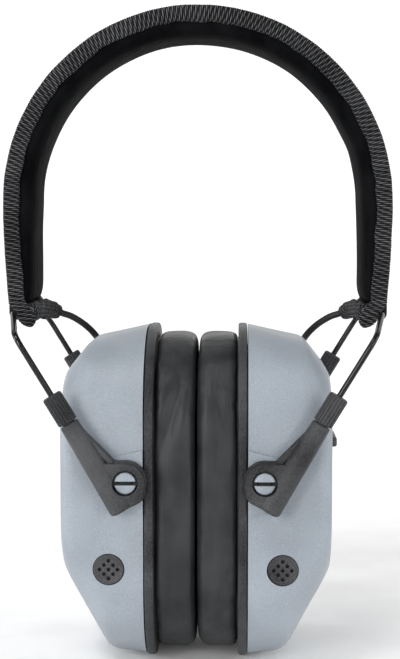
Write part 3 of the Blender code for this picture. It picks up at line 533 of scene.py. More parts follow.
def upright_ring(x, half_depth, low, high, radius, steps):
    """A rounded rectangle in a plane of constant X."""
    quarter = math.pi / 2
    reach = half_depth - radius
    corners = (
        (reach, high - radius, 0), (-reach, high - radius, quarter),
        (-reach, low + radius, 2 * quarter), (reach, low + radius, 3 * quarter))
    points = []
    for y, z, first in corners:
        points += arc((y, z), radius, first, first + quarter, steps)
    return [(x, y, z) for y, z in points]


def cup_ring(x, inset, steps=14):
    radius = CUP_CORNER_RADIUS - inset * 0.6
    return upright_ring(
        x, CUP_HALF_DEPTH - inset, CUP_LOW_Z + inset, CUP_HIGH_Z - inset, radius, steps)


def ear_ring(x, half_depth, half_height, steps=14):
    radius = half_depth * 0.9
    low = EAR_MIDDLE_Z - half_height
    return upright_ring(x, half_depth, low, EAR_MIDDLE_Z + half_height, radius, steps)


def baked(obj):
    """Replace an object's mesh by its evaluated one, with no modifiers left."""
    bpy.context.view_layer.update()
    evaluated = obj.evaluated_get(bpy.context.evaluated_depsgraph_get())
    mesh = bpy.data.meshes.new_from_object(evaluated)
    obj.modifiers.clear()
    obj.data = mesh
    return obj


def combine(target, others, operation):
    for other in others:
        modifier = target.modifiers.new(operation.lower(), "BOOLEAN")
        modifier.operation = operation
        modifier.object = other
        modifier.solver = "EXACT"
    baked(target)
    for other in others:
        bpy.data.objects.remove(other)
    return target


def cut(target, *others):
    return combine(target, others, "DIFFERENCE")


def fuse(target, *others):
    return combine(target, others, "UNION")


def soften_edges(obj, width, limit):
    """Round off the edges that are sharper than a limit in degrees."""
    bevel = obj.modifiers.new("edges", "BEVEL")
    bevel.width = width
    bevel.segments = 2
    bevel.limit_method = "ANGLE"
    bevel.angle_limit = math.radians(limit)
    bevel.use_clamp_overlap = True
    return obj


def smooth(obj, angle=40):
    obj.data.shade_smooth()
    obj.data.set_sharp_from_angle(angle=math.radians(angle))


def subdivided(obj, levels):
    subdivision = obj.modifiers.new("subdivision", "SUBSURF")
    subdivision.levels = levels
    subdivision.render_levels = levels
    return obj


def ripple(obj, height, size, seed):
    """Move points along their normals by smooth noise."""
    offset = Vector((seed, seed * 0.7, seed * 1.3))
    normals = [vertex.normal.copy() for vertex in obj.data.vertices]
    for vertex, normal in zip(obj.data.vertices, normals):
        vertex.co += normal * height * noise.noise(vertex.co / size + offset)


def present(obj, name, slot, body, nodes, side=1, angle=40):
    """Name a piece, mirror it to its side, lower it on to the frame, and hang it on its body."""
    obj.name = name
    if side < 0:
        obj.data.transform(Matrix.Scale(-1, 4, (1, 0, 0)))
        obj.data.flip_normals()
    obj.data.transform(Matrix.Translation((0, 0, -DROP)))
    obj.data.materials.clear()
    obj.data.materials.append(materials[slot])
    smooth(obj, angle)
    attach(obj, body)
    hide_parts(*nodes)
    return obj


def refined(node, slot, body, width):
    """A CAD piece again, with its edges rounded off."""
    source = frame["nodes"][node]
    obj = add_object(node + "_finished", source.data.copy())
    bm = bmesh.new()
    bm.from_mesh(obj.data)
    bmesh.ops.remove_doubles(bm, verts=bm.verts, dist=0.000002)
    bmesh.ops.dissolve_limit(bm, angle_limit=math.radians(1.0), verts=bm.verts, edges=bm.edges)
    bm.to_mesh(obj.data)
    bm.free()
    obj.data.transform(Matrix.Translation((0, 0, DROP)))
    soften_edges(obj, width, 40)
    return present(obj, node + "_finished", slot, body, [node], 1, 35)


# -------------------- hard parts of the cup

def shell_half_depth(x):
    edge_start = SHELL_OUTER_X - SHELL_EDGE_RADIUS
    if x <= edge_start:
        share = (x - SHELL_INNER_X) / (edge_start - SHELL_INNER_X)
        return SHELL_HALF_DEPTH + (SHELL_DRAFT_DEPTH - SHELL_HALF_DEPTH) * share
    lean = (x - edge_start) / SHELL_EDGE_RADIUS
    return SHELL_DRAFT_DEPTH - SHELL_EDGE_RADIUS * (1 - math.sqrt(max(0.0, 1 - lean * lean)))


def shell_solid(top_corners, bottom_corners, stations, wall, steps):
    top = rounded_chain(top_corners)
    bottom = rounded_chain(bottom_corners)
    rings = []
    for x in stations:
        corner = 0.028 - 0.010 * ((x - SHELL_INNER_X) / (SHELL_OUTER_X - SHELL_INNER_X)) ** 2 - wall
        low = height_at(bottom, x)
        high = height_at(top, x)
        rings.append(upright_ring(x, shell_half_depth(x) - wall, low, high, corner, steps))
    return loft("shell", rings)


def shell_stations():
    """Even steps over the body, then closer ones round the outer edge."""
    edge_start = SHELL_OUTER_X - SHELL_EDGE_RADIUS
    body = [SHELL_INNER_X + (edge_start - SHELL_INNER_X) * i / 16 for i in range(16)]
    turns = [math.pi / 2 * i / 9 for i in range(10)]
    return body + [edge_start + SHELL_EDGE_RADIUS * math.sin(a) for a in turns]


def shell_body():
    outer = shell_solid(SHELL_TOP_CORNERS, SHELL_BOTTOM_CORNERS, shell_stations(), 0.0, 14)
    cavity_stations = (0.0155, 0.0260, 0.0300, 0.0336, 0.0380, 0.0406)
    cavity = shell_solid(CAVITY_TOP_CORNERS, CAVITY_BOTTOM_CORNERS, cavity_stations, SHELL_WALL, 8)
    body = cut(outer, cavity)
    for facing in (-1, 1):
        body = fuse(body, prism(BOSS_OUTLINE, facing * 0.0305, facing * BOSS_FACE))
        ends = [(PIVOT_X, facing * depth, PIVOT_Z) for depth in (0.029, 0.038)]
        body = cut(body, rod(*ends, PIN_BORE_RADIUS))
    mic_seat = rod((MIC_X, -0.030, MIC_Z), (MIC_X, -0.037, MIC_Z), MIC_SEAT_RADIUS)
    cable_hole = rod(
        GLAND_POINT - GLAND_AXIS * 0.007, GLAND_POINT + GLAND_AXIS * 0.004, CABLE_HOLE_RADIUS)
    return cut(body, mic_seat, cable_hole)


def right_shell():
    body = fuse(shell_body(), rod((0.0383, 0, KNOB_Z), (0.0412, 0, KNOB_Z), KNOB_SEAT_RADIUS + 0.0014))
    recess = rod((0.0402, 0, KNOB_Z), (0.0450, 0, KNOB_Z), KNOB_SEAT_RADIUS)
    shaft_hole = rod((0.0375, 0, KNOB_Z), (0.0408, 0, KNOB_Z), KNOB_SHAFT_HOLE_RADIUS)
    jack_hole = rod(JACK_POINT - SLOPE_NORMAL * 0.006, JACK_POINT + SLOPE_NORMAL * 0.003, JACK_HOLE_RADIUS)
    return cut(body, recess, shaft_hole, jack_hole)


def left_shell():
    half_depth, low, high = DOOR_BOX
    opening = [upright_ring(x, half_depth, low, high, 0.0015, 4) for x in (0.0390, 0.0450)]
    return cut(shell_body(), loft("opening", opening))


def rim():
    """The base plate: a rolled outer edge and the ear opening."""
    edge = 0.0007
    rings = []
    for x, turn in ((PLATE_INNER_X, -1), (PLATE_OUTER_X, 1)):
        angles = [math.pi / 2 * i / 4 for i in range(5)]
        arcs = [(x - turn * edge * (1 - math.sin(a)), edge * (1 - math.cos(a))) for a in angles]
        rings += arcs if turn > 0 else list(reversed(arcs))
    plate = loft("rim", [cup_ring(x, inset) for x, inset in rings])
    opening = loft("opening", [ear_ring(x, *PLATE_OPENING) for x in (0.0125, 0.0180)])
    holes = [rod((0.0125, 0, z), (0.0180, 0, z), SCREW_HOLE_RADIUS, 24) for z in SCREW_HEIGHTS]
    return cut(plate, opening, *holes)


def snap_ring():
    """The ring at the cushion's back, hidden between cushion and base plate."""
    body = loft("ring", [cup_ring(x, RING_INSET) for x in (RING_FRONT_X, RING_BACK_X)])
    return cut(body, loft("opening", [ear_ring(x, *RING_OPENING) for x in (0.0110, 0.0140)]))


# -------------------- arms and pins

def turned(start, axis, stations, sides=48):
    """A turned solid: stations are distance along the axis and radius."""
    axis = Vector(axis).normalized()
    round_axis = spokes(axis, sides)
    return loft("turned", [
        [Vector(start) + axis * distance + spoke * radius for spoke in round_axis]
        for distance, radius in stations])


def leg_direction():
    """Up along the yoke's leg, which is also the sleeve's axis."""
    return Vector((math.cos(LEG_ANGLE), 0, math.sin(LEG_ANGLE)))


def leg_point(distance, facing):
    return Vector((COLLAR_BASE[0], facing * LEG_Y, COLLAR_BASE[1])) + leg_direction() * distance


def collar_lift(facing):
    """The rear collars sit further up their legs than the front ones."""
    return REAR_ARM_EXTRA if facing > 0 else 0.0


def sleeve_edge(distance, outward, radius):
    point = leg_point(distance, 1)
    side = outward * radius
    return (point.x + side * math.sin(LEG_ANGLE), point.z - side * math.cos(LEG_ANGLE))


def hull(points):
    """The convex outline round X-Z points."""
    ordered = sorted(set(points))

    def half(sequence):
        chain = []
        for p in sequence:
            while len(chain) > 1:
                a, b = chain[-2:]
                if (b[0] - a[0]) * (p[1] - a[1]) - (b[1] - a[1]) * (p[0] - a[0]) > 1e-12:
                    break
                chain.pop()
            chain.append(p)
        return chain[:-1]
    return half(ordered) + half(reversed(ordered))


def shrunk(outline, inset):
    """A convex outline moved inward; it runs anticlockwise."""
    moved = []
    for i, point in enumerate(outline):
        here = Vector(point)
        back = (here - Vector(outline[i - 1])).normalized()
        ahead = (Vector(outline[(i + 1) % len(outline)]) - here).normalized()
        normal = Vector((-back.y - ahead.y, back.x + ahead.x)).normalized()
        moved.append(here + normal * inset / max(0.5, normal.dot(Vector((-back.y, back.x)))))
    return moved


def chamfered(outline, back, front, width):
    """A prism whose front edge is rounded over by a width."""
    toward = math.copysign(1, front)
    rings = [[(x, back, z) for x, z in outline]]
    for i in range(5):
        turn = math.pi / 2 * i / 4
        y = front - toward * width * (1 - math.sin(turn))
        rings.append([(x, y, z) for x, z in shrunk(outline, width * (1 - math.cos(turn)))])
    return loft("chamfered", rings)


def arm(facing):
    """A sleeve for the wire, a lobe for the pin, and a web and strut between them."""
    lobe = arc((PIVOT_X, PIVOT_Z), LOBE_RADIUS, 0, math.tau * 95 / 96, 95)
    base = hull(lobe + list(LOBE_HEEL) + [LOBE_SHOULDER, sleeve_edge(-SLEEVE_LENGTH, 1, 0.0037)])
    body = chamfered(base, facing * (LOBE_BACK - 0.0001), facing * (PLATE_FRONT + 0.0008), 0.0004)
    web = hull([
        sleeve_edge(-0.0030, -1, 0.0024), STRUT_FOOT, (PIVOT_X, PIVOT_Z + 0.0020),
        sleeve_edge(-0.0280, 0, 0), sleeve_edge(-0.0030, 1, 0.0010)])
    web = prism(web, facing * LOBE_BACK, facing * (PLATE_FRONT - 0.0003))
    strut = hull([
        sleeve_edge(-0.0032, -1, 0.0023), (STRUT_FOOT[0] + 0.0002, STRUT_FOOT[1]),
        (STRUT_FOOT[0] + 0.0014, STRUT_FOOT[1] - 0.0012), sleeve_edge(-0.0052, -1, 0.0016)])
    strut = chamfered(strut, facing * (LOBE_BACK + 0.0001), facing * STRUT_FRONT, 0.0002)
    rim_line = arc((PIVOT_X, PIVOT_Z), LOBE_RADIUS - 0.0004, 0.05, 0.05 + math.tau * 95 / 96, 95)
    heel = [(x + 0.0003, z + 0.0004) for x, z in LOBE_HEEL]
    shoulder = (LOBE_SHOULDER[0] - 0.0003, LOBE_SHOULDER[1] - 0.0003)
    raised = hull(rim_line + heel + [shoulder, sleeve_edge(0.0004 - SLEEVE_LENGTH, 1, 0.0033)])
    raised = chamfered(raised, facing * (LOBE_BACK + 0.0003), facing * LOBE_FRONT, 0.0004)
    top = SLEEVE_LENGTH - 0.0003 + collar_lift(facing)
    stations = (
        (0, SLEEVE_END_RADIUS - 0.0009), (0.0003, SLEEVE_END_RADIUS - 0.0004), (0.0009, SLEEVE_END_RADIUS),
        (top - 0.0003, COLLAR_RADIUS - 0.0001), (top, COLLAR_RADIUS - 0.0004), (top, 0.0020),
        (top + 0.006, 0.0020))
    sleeve = turned(leg_point(-SLEEVE_LENGTH, facing), leg_direction(), stations)
    body = fuse(body, web, strut, raised, sleeve)
    back = prism(((0.0, 0.03), (0.08, 0.03), (0.08, 0.12), (0.0, 0.12)), facing * 0.030, facing * LOBE_BACK)
    outside = (PIVOT_X, facing * 0.045, PIVOT_Z)
    seat = rod((PIVOT_X, facing * (LOBE_FRONT - 0.0017), PIVOT_Z), outside, PIN_SEAT_RADIUS)
    bore = rod((PIVOT_X, facing * 0.035, PIVOT_Z), outside, PIN_BORE_RADIUS)
    wire_bore = rod(leg_point(-0.0295, facing), leg_point(0.020, facing), WIRE_BORE_RADIUS, 24)
    return cut(body, back, seat, bore, wire_bore)


def collar(facing):
    """The grip collar: even flutes along it, and a small bevel at each end."""
    lift = collar_lift(facing)
    heights = (0.0, 0.0, -0.0001, -0.00042, -0.00046, -0.00042, -0.0001)
    round_leg = spokes(leg_direction(), COLLAR_RIBS * len(heights))
    rings = []
    for distance, shrink in (
            (0.0001, 0.0005), (0.0004, 0.0), (COLLAR_LENGTH - 0.0005, 0.0), (COLLAR_LENGTH, 0.0005)):
        centre = leg_point(distance + lift, facing)
        ring = []
        for i, spoke in enumerate(round_leg):
            radius = COLLAR_RADIUS + 0.00004 + max(heights[i % len(heights)], -0.0006 + shrink) - shrink
            ring.append(centre + spoke * radius)
        rings.append(ring)
    socket = rod(leg_point(lift - 0.001, facing), leg_point(0.0063 + lift, facing), 0.0023)
    bore = rod(leg_point(lift, facing), leg_point(0.012 + lift, facing), WIRE_BORE_RADIUS, 24)
    return cut(loft("collar", rings), socket, bore)


def pivot_strip(half_length, half_width):
    """A level strip across the pivot, as an X-Z outline."""
    left, right = PIVOT_X - half_length, PIVOT_X + half_length
    low, high = PIVOT_Z - half_width, PIVOT_Z + half_width
    return [(left, low), (right, low), (right, high), (left, high)]


def pin(facing):
    """A pivot pin with a deep slot across its domed head."""
    stations = (
        (0, PIN_SHAFT_RADIUS), (0.0098, PIN_SHAFT_RADIUS), (0.0098, PIN_HEAD_RADIUS),
        (0.0111, PIN_HEAD_RADIUS), (0.0114, PIN_HEAD_RADIUS - 0.00015), (0.0116, PIN_HEAD_RADIUS - 0.0005))
    body = turned((PIVOT_X, facing * 0.0300, PIVOT_Z), (0, facing, 0), stations, 72)
    slot = prism(pivot_strip(0.005, PIN_SLOT_HALF), facing * 0.0384, facing * 0.0430)
    return soften_edges(cut(body, slot), 0.00008, 50)


def pin_core(facing):
    """A dark piece at the floor of the pin's slot: painted shade, standing in for the shade down in the deep
    slot.
    """
    return prism(pivot_strip(0.0020, PIN_SLOT_HALF - 0.00002), facing * 0.0386, facing * 0.0402)


def gland():
    """The low rubber bush that the cable passes into the shell through."""
    bush = turned(
        GLAND_POINT - GLAND_AXIS * 0.0045, GLAND_AXIS,
        ((0, 0.0022), (0.0044, 0.0022), (0.0050, 0.0021), (0.0055, 0.0017)))
    reach = GLAND_AXIS * 0.006
    return cut(bush, rod(GLAND_POINT - reach, GLAND_POINT + reach, 0.00125, 32))


def mic_grille():
    """A flush disc with a low lip, and nine holes in a diamond."""
    disc = turned(
        (MIC_X, -0.0342, MIC_Z), (0, -1, 0),
        ((0, MIC_RADIUS), (0.0004, MIC_RADIUS), (0.0006, MIC_RADIUS - 0.0002), (0.0006, MIC_RADIUS - 0.0006),
         (0.0005, MIC_RADIUS - 0.0008)), 72)
    steps = ((0, 0), (2, 0), (-2, 0), (0, 2), (0, -2), (1, 1), (1, -1), (-1, 1), (-1, -1))
    holes = []
    for across, up in steps:
        x = MIC_X + across * MIC_HOLE_PITCH
        z = MIC_Z + up * MIC_HOLE_PITCH
        holes.append(rod((x, -0.0335, z), (x, -0.0360, z), MIC_HOLE_RADIUS, 20))
    return cut(disc, *holes)


def mic_foam():
    """The dark wind screen behind the grille."""
    return rod((MIC_X, -0.0330, MIC_Z), (MIC_X, -0.0338, MIC_Z), MIC_RADIUS - 0.0001)


# -------------------- cushions

def cushion_start():
    """The cushion's skin before it is blown up: a ring round the ear, a little slim."""
    outer = (
        (CUSHION_BACK_X, 0.0032), (0.0126, 0.0028), (0.0110, 0.0027), (0.0078, 0.0027), (0.0048, 0.0027),
        (0.0028, 0.0029), (0.0013, 0.0036), (0.0005, 0.0050), (0.0003, 0.0074))
    inner = (
        (0.0003, 0.0245, 0.0375), (0.0008, 0.0228, 0.0358), (0.0026, 0.0217, 0.0347),
        (0.0060, 0.0212, 0.0342), (0.0095, 0.0206, 0.0336), (CUSHION_BACK_X, 0.0198, 0.0328))
    rings = [cup_ring(x, inset, 18) for x, inset in outer]
    rings += [ear_ring(x, half_depth, half_height, 18) for x, half_depth, half_height in inner]
    return loft("cushion", rings, closed=True)


def blow_up(obj, pressure, voxel, reach):
    """Inflate a soft piece as cloth. No point moves further than reach."""
    remesh = obj.modifiers.new("remesh", "REMESH")
    remesh.mode = "VOXEL"
    remesh.voxel_size = voxel
    baked(obj)
    start = [vertex.co.copy() for vertex in obj.data.vertices]
    cloth = obj.modifiers.new("cloth", "CLOTH")
    cloth.settings.use_pressure = True
    cloth.settings.uniform_pressure_force = pressure
    cloth.settings.effector_weights.gravity = 0
    cloth.settings.quality = 5
    cloth.point_cache.frame_start = 1
    cloth.point_cache.frame_end = 20
    scene = bpy.context.scene
    for number in range(1, 21):
        scene.frame_set(number)
    baked(obj)
    scene.frame_set(1)
    for vertex, origin in zip(obj.data.vertices, start):
        moved = vertex.co - origin
        if moved.length > reach:
            vertex.co = origin + moved * (reach / moved.length)
    return obj


def cushion(seed, crease):
    """A blown-up ear cushion, flat where it meets the other one and its own ring."""
    obj = cushion_start()
    blow_up(obj, 2.5, 0.0016, 0.0005)
    relax = obj.modifiers.new("relax", "SMOOTH")
    relax.factor = 0.5
    relax.iterations = 2
    baked(obj)
    ripple(obj, 0.00045, 0.016, seed)
    for vertex in obj.data.vertices:
        point = vertex.co
        if point.y < -0.02:
            lean = (point.z - 0.0867) * 0.26 + point.x - 0.0076
            near = math.exp(-(lean / 0.0017) ** 2) * math.exp(-((point.z - 0.0867) / 0.013) ** 2)
            folds = math.sin(point.x * 2300) * math.exp(-((point.z - 0.024) / 0.010) ** 2)
            point.y += crease * near + 0.00022 * folds
        point.x = min(max(point.x, 0.00018), CUSHION_BACK_X)
    return subdivided(obj, 1)


# -------------------- yoke and cable

def tube(name, points, radius, sides=16):
    """A round tube whose rings turn with the route, with no twist."""
    points = [Vector(p) for p in points]
    across = None
    rings = []
    for i, point in enumerate(points):
        along = (points[min(i + 1, len(points) - 1)] - points[max(i - 1, 0)]).normalized()
        if across is None:
            across, _ = frame_along(along)
        across = (across - along * across.dot(along)).normalized()
        up = along.cross(across)
        angles = [math.tau * k / sides for k in range(sides)]
        rings.append([point + (across * math.cos(a) + up * math.sin(a)) * radius for a in angles])
    return loft(name, rings)


def smooth_route(points, spacing):
    """Even points along a smooth curve through the given points."""
    knots = [Vector(p) for p in points]
    knots = [knots[0] * 2 - knots[1]] + knots + [knots[-1] * 2 - knots[-2]]
    dense = []
    for a, b, c, d in zip(knots, knots[1:], knots[2:], knots[3:]):
        for i in range(20):
            t = i / 20
            dense.append(0.5 * ((2 * b) + (c - a) * t + (2 * a - 5 * b + 4 * c - d) * t ** 2
                                + (3 * b - a - 3 * c + d) * t ** 3))
    dense.append(knots[-2])
    total = sum((q - p).length for p, q in zip(dense, dense[1:]))
    count = max(2, round(total / spacing))
    even = [dense[0]]
    walked = 0.0
    for p, q in zip(dense, dense[1:]):
        step = (q - p).length
        while len(even) < count and walked + step >= total * len(even) / count:
            even.append(p.lerp(q, (total * len(even) / count - walked) / step))
        walked += step
    even.append(dense[-1])
    return even


def yoke_wire():
    """The bent wire: up the front leg, across the band's end, and down the rear leg."""
    climb = (WIRE_BEND_Z - COLLAR_BASE[1]) / math.sin(LEG_ANGLE)
    shoulder = Vector((SWING_X, -WIRE_SHOULDER_Y, SWING_Z))
    corners = [leg_point(-WIRE_IN_SLEEVE, -1), leg_point(climb, -1), shoulder]
    corners += [Vector((p.x, -p.y, p.z)) for p in reversed(corners)]
    points = [corners[0]]
    for before, here, after in zip(corners, corners[1:], corners[2:]):
        back = (before - here).normalized()
        ahead = (after - here).normalized()
        reach = min(WIRE_BEND_RADIUS / math.tan(back.angle(ahead) / 2), WIRE_BEND_REACH)
        points += bend(here + back * reach, here, here + ahead * reach, 10)
    points.append(corners[-1])
    return tube("yoke", points, WIRE_RADIUS, 20)


def free_cable(word, side):
    """The cable's free end, cut into three lengths along its route."""
    route = smooth_route(FREE_CABLE_ROUTE, 0.0006)
    route = [Vector((p.x * side, p.y, p.z - DROP)) for p in route]
    first = round(len(route) * 0.26)
    second = round(len(route) * 0.46)
    lengths = (
        ("upper", route[:first + 1], "headband", word + "_yoke"),
        ("middle", route[first:second + 1], word + "_yoke", word + "_arms"),
        ("lower", route[second:], word + "_arms", word + "_cup"),
    )
    made = []
    for place, points, near, far in lengths:
        obj = tube("%s_cable_%s" % (word, place), points, CABLE_RADIUS)
        obj.data.materials.append(materials["cable_rubber"])
        smooth(obj)
        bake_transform(obj)
        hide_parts(word + "_cable")
        made.append(obj)
    return made


def band_cable():
    """The cable's run inside the band, which its two free ends continue."""
    run = [
        (x - nx * BAND_CABLE_OFFSET, BAND_CABLE_Y, z - nz * BAND_CABLE_OFFSET)
        for x, z, nx, nz in band_frames(0.1232, 0.004)]
    obj = tube("cable_in_band", run, CABLE_RADIUS)
    present(obj, "cable_in_band", "cable_rubber", "headband", ["band_cable"])


# -------------------- headband

def band_frames(end_z, spacing):
    """Points of the outer surface with their outward directions, from the +X end to the -X end."""
    reach = math.asin((BAND_CENTRE_Z - end_z) / BAND_SIDE_RADIUS)
    side_centre = BAND_RADIUS - BAND_SIDE_RADIUS
    side_steps = max(2, round(reach * BAND_SIDE_RADIUS / spacing))
    crown_steps = max(4, round(math.pi / 2 * BAND_RADIUS / spacing))
    half = []
    for i in range(side_steps):
        angle = -reach * (1 - i / side_steps)
        x = side_centre + BAND_SIDE_RADIUS * math.cos(angle)
        half.append((x, BAND_CENTRE_Z + BAND_SIDE_RADIUS * math.sin(angle), math.cos(angle), math.sin(angle)))
    for i in range(crown_steps + 1):
        angle = math.pi / 2 * i / crown_steps
        x = BAND_RADIUS * math.cos(angle)
        half.append((x, BAND_CENTRE_Z + BAND_RADIUS * math.sin(angle), math.cos(angle), math.sin(angle)))
    return half + [(-x, z, -nx, nz) for x, z, nx, nz in reversed(half[:-1])]


def ribbed_sweep(name, path, section_at):
    """Sweep a section, given as offset and Y, with a rib raised at every pitch along the path."""
    rings = []
    run = 0.0
    before = None
    for i, (x, z, nx, nz) in enumerate(path):
        if before is not None:
            run += math.hypot(x - before[0], z - before[1])
        before = (x, z)
        drift = noise.noise(Vector((run / 0.004, 0.5, 0.5)))
        raised = RIB_HEIGHT * (1 + 0.5 * drift) * math.cos(math.tau * run / RIB_PITCH + 0.9 * drift)
        section = section_at(i)
        middle_o = sum(o for o, y in section) / len(section)
        middle_y = sum(y for o, y in section) / len(section)
        ring = []
        for o, y in section:
            away = Vector((o - middle_o, y - middle_y))
            grown = away * (1 + raised / max(away.length, 0.0005))
            offset = middle_o + grown.x
            ring.append((x - nx * offset, middle_y + grown.y, z - nz * offset))
        rings.append(ring)
    return loft(name, rings)


def roll_path():
    """The band's own line, with each end leaning inward into a hanging tab."""
    spacing = RIB_PITCH / 4
    main = band_frames(COVER_END_Z, spacing)
    knots = (
        (main[0][0], main[0][1], 1.0), (0.0609, 0.1209, 1.0), (0.0594, 0.1191, 1.06), (0.0583, 0.1171, 1.10),
        (0.0576, 0.1153, 1.04), (0.0571, 0.1141, 0.86), (0.0569, 0.1132, 0.52), (0.0568, 0.1127, 0.12))
    tab = []
    for (x0, z0, w0), (x1, z1, w1) in zip(knots, knots[1:]):
        steps = max(1, round(math.hypot(x1 - x0, z1 - z0) / spacing))
        for i in range(1, steps + 1):
            t = i / steps
            tab.append((x0 + (x1 - x0) * t, z0 + (z1 - z0) * t, w0 + (w1 - w0) * t))
    tab.reverse()
    right = [(x, z, 0.985, -0.17) for x, z, _ in tab]
    left = [(-x, z, -nx, nz) for x, z, nx, nz in reversed(right)]
    widths = [w for _, _, w in tab]
    return right + main + left, widths + [1.0] * len(main) + list(reversed(widths))


def binding_roll(facing):
    """The ribbed binding rolled over one edge of the band, ending in a rounded tab at each side."""
    path, widths = roll_path()
    angles = [math.tau * i / 22 for i in range(22)]

    def power(value):
        return math.copysign(abs(value) ** 0.78, value)

    def section_at(i):
        x, z = path[i][:2]
        lumps = noise.noise(Vector((x / 0.0085, facing * 5.0, z / 0.0085)))
        lumps += 0.5 * noise.noise(Vector((x / 0.0030, facing * 9.0, z / 0.0030)))
        width = widths[i]
        depth = ROLL_HALF_WIDTH * math.sqrt(width) * (1 + 0.10 * lumps)
        half = ROLL_DEPTH / 2 * width
        inward = ROLL_DEPTH / 2 + (1 - width) * 0.0006 + 0.00012 * lumps
        edge = 0.00042 * lumps
        return [
            (inward + half * power(math.cos(a)) + (edge if math.cos(a) > 0 else 0) * math.cos(a),
             facing * (ROLL_MIDDLE_Y + depth * power(math.sin(a))))
            for a in angles]
    return ribbed_sweep("binding", path, section_at)


def cover_web():
    """The outer face of the cover between the two rolls."""
    edge = 0.0166
    across = [edge * (i / 8 - 1) for i in range(17)]
    crown = [(0.00035 * (y / edge) ** 6, y) for y in across]
    under = [(0.0012, y) for y in reversed(across)]
    section = crown + under
    return ribbed_sweep("web", band_frames(WEB_END_Z, RIB_PITCH / 4), lambda i: section)


def pad():
    """The foam pad: full at its front edge, crowned, with a few soft folds near the crown's right."""
    section = (
        (0.0029, -0.0162), (0.0042, -0.0169), (0.0060, -0.0170), (0.0076, -0.0164), (0.0090, -0.0148),
        (0.0098, -0.0120), (0.0101, -0.0085), (0.0102, -0.0045), (0.0102, 0.0), (0.0101, 0.0040),
        (0.0099, 0.0080), (0.0092, 0.0112), (0.0078, 0.0132), (0.0060, 0.0139), (0.0042, 0.0138),
        (0.0029, 0.0132))
    rings = []
    path = band_frames(PAD_END_Z, 0.0022)
    for i, (x, z, nx, nz) in enumerate(path):
        share = min(1.0, max(0.0, (BAND_CENTRE_Z - z) / (BAND_CENTRE_Z - PAD_END_Z)))
        thin = 1 - 0.26 * share
        near_end = min(i, len(path) - 1 - i)
        closing = (0.62, 0.86, 0.97)[near_end] if near_end < 3 else 1.0
        fold = 0.0
        if x > 0 and 0.165 < z < 0.205:
            fold = 0.00028 * math.sin(x * 900 + z * 700) * math.sin((z - 0.165) / 0.040 * math.pi)
        ring = []
        for o, y in section:
            offset = 0.0028 + (o - 0.0028) * thin * closing + (fold if o > 0.0095 else fold * 0.4)
            ring.append((x - nx * offset, y * (0.94 + 0.06 * closing), z - nz * offset))
        rings.append(ring)
    obj = loft("pad", rings)
    ripple(obj, 0.00025, 0.014, 3.0)
    return subdivided(obj, 2)


def gathered_end():
    """The cover's end under the pad: gathered, and knotted round the cable at the rear."""
    stations = (
        (-0.0158, 0.0541, 0.1180, 0.0012, 0.0018), (-0.0150, 0.0541, 0.1178, 0.0023, 0.0031),
        (-0.0120, 0.0539, 0.1179, 0.0027, 0.0031), (-0.0060, 0.0536, 0.1181, 0.0028, 0.0030),
        (0.0000, 0.0533, 0.1182, 0.0028, 0.0029), (0.0060, 0.0528, 0.1181, 0.0028, 0.0029),
        (0.0105, 0.0521, 0.1180, 0.0027, 0.0026), (0.0140, 0.0512, 0.1169, 0.0029, 0.0028),
        (0.0170, 0.0508, 0.1164, 0.0029, 0.0029), (0.0190, 0.0508, 0.1164, 0.0026, 0.0026),
        (0.0203, 0.0508, 0.1164, 0.0018, 0.0018), (0.0207, 0.0508, 0.1164, 0.0008, 0.0008))
    sides = 24
    route = smooth_route([(x, y, z) for y, x, z, _, _ in stations], 0.0006)
    rings = []
    for centre in route:
        radius_x, radius_z = radii_at(stations, centre.y)
        ring = []
        for i in range(sides):
            a = math.tau * i / sides
            gather = 1 + 0.07 * math.sin(5 * a + centre.y * 700) + 0.03 * math.sin(centre.y * 4200)
            x = centre.x + radius_x * gather * math.cos(a)
            ring.append((x, centre.y, centre.z + radius_z * gather * math.sin(a)))
        rings.append(ring)
    return loft("gathered_end", rings)


def radii_at(stations, y):
    for (y0, _, _, a0, b0), (y1, _, _, a1, b1) in zip(stations, stations[1:]):
        if y <= y1:
            t = (y - y0) / (y1 - y0)
            return a0 + (a1 - a0) * t, b0 + (b1 - b0) * t
    return stations[-1][3], stations[-1][4]


# -------------------- assembly

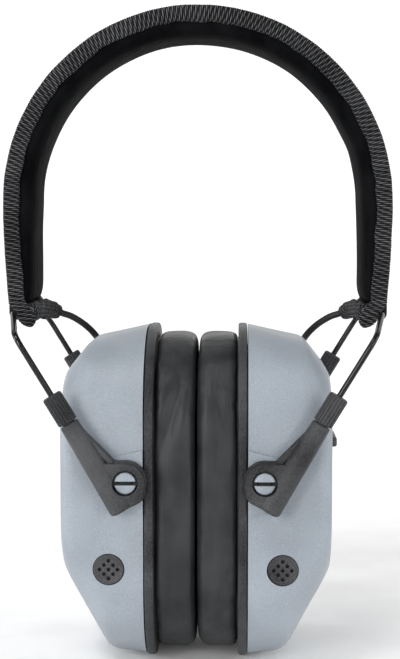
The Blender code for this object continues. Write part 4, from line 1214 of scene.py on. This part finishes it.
def dress_headband():
    free_ends = free_cable("left", -1) + free_cable("right", 1)
    band_cable()
    for facing, name in ((-1, "front_binding"), (1, "rear_binding")):
        present(binding_roll(facing), name, "ribbed_fabric", "headband", ["headband_cover"])
    present(cover_web(), "cover_web", "ribbed_fabric", "headband", ["headband_cover"])
    present(pad(), "band_pad", "pad_vinyl", "headband", ["headband_pad"], angle=180)
    for side, word in ((1, "right"), (-1, "left")):
        present(
            gathered_end(), word + "_gathered_end", "ribbed_fabric", "headband", [word + "_end_flap"],
            side, 180)
    frame["nodes"]["headband_spring"].data.materials[0] = materials["black_steel"]


def dress_side(word, side):
    cup = word + "_cup"
    present(yoke_wire(), word + "_wire", "black_steel", word + "_yoke", [word + "_yoke"], side)
    for facing, place in ((-1, "front"), (1, "rear")):
        for shape, slot, body in (
                (arm, "dark_plastic", "arms"), (collar, "dark_plastic", "arms"),
                (pin, "shell_plastic", "cup")):
            node = "%s_%s_%s" % (word, place, shape.__name__)
            present(shape(facing), node + "_finished", slot, word + "_" + body, [node], side, 35)
        pin_node = "%s_%s_pin" % (word, place)
        # a dark piece in each pin's slot, as painted shade for the deep slot
        present(pin_core(facing), pin_node + "_core", "cable_rubber", cup, [pin_node], side)
    for shape, name, slot, node in (
            (rim, "_rim", "dark_plastic", "_base_plate"),
            (snap_ring, "_snap_ring", "cushion_vinyl", "_cushion_ring"),
            (mic_grille, "_grille", "dark_plastic", "_mic_grille"),
            (mic_foam, "_wind_screen", "cable_rubber", "_mic_grille"),
            (gland, "_gland", "cable_rubber", "_cable_gland")):
        present(shape(), word + name, slot, cup, [word + node], side)
    seed, crease = (2.0, 0.0017) if side < 0 else (7.0, 0.0003)
    soft = present(
        cushion(seed, crease), word + "_ear_cushion", "cushion_vinyl", cup, [word + "_cushion"], side, 180)


def dress_shell(shell, word, side):
    soften_edges(shell, 0.00030, 28)
    present(shell, word + "_shell_finished", "shell_plastic", word + "_cup", [word + "_shell"], side)


def dress_plain_nodes():
    """Pieces whose CAD shape is right keep it, and take their slot's material."""
    slots = {row["node"]: row["material_slot"] for row in frame["record"]["subparts"]}
    for name, node in frame["nodes"].items():
        node.data.materials.clear()
        node.data.materials.append(materials[slots[name]])


materials = make_materials()
make_camera()
make_stage()
dress_plain_nodes()
dress_headband()
for word, side in (("right", 1), ("left", -1)):
    dress_side(word, side)
dress_shell(right_shell(), "right", 1)
dress_shell(left_shell(), "left", -1)
refined("volume_knob", "dark_plastic", "volume_knob", 0.00020)
refined("battery_door", "shell_plastic", "battery_door", 0.00025)
refined("audio_jack", "dark_plastic", "right_cup", 0.00015)
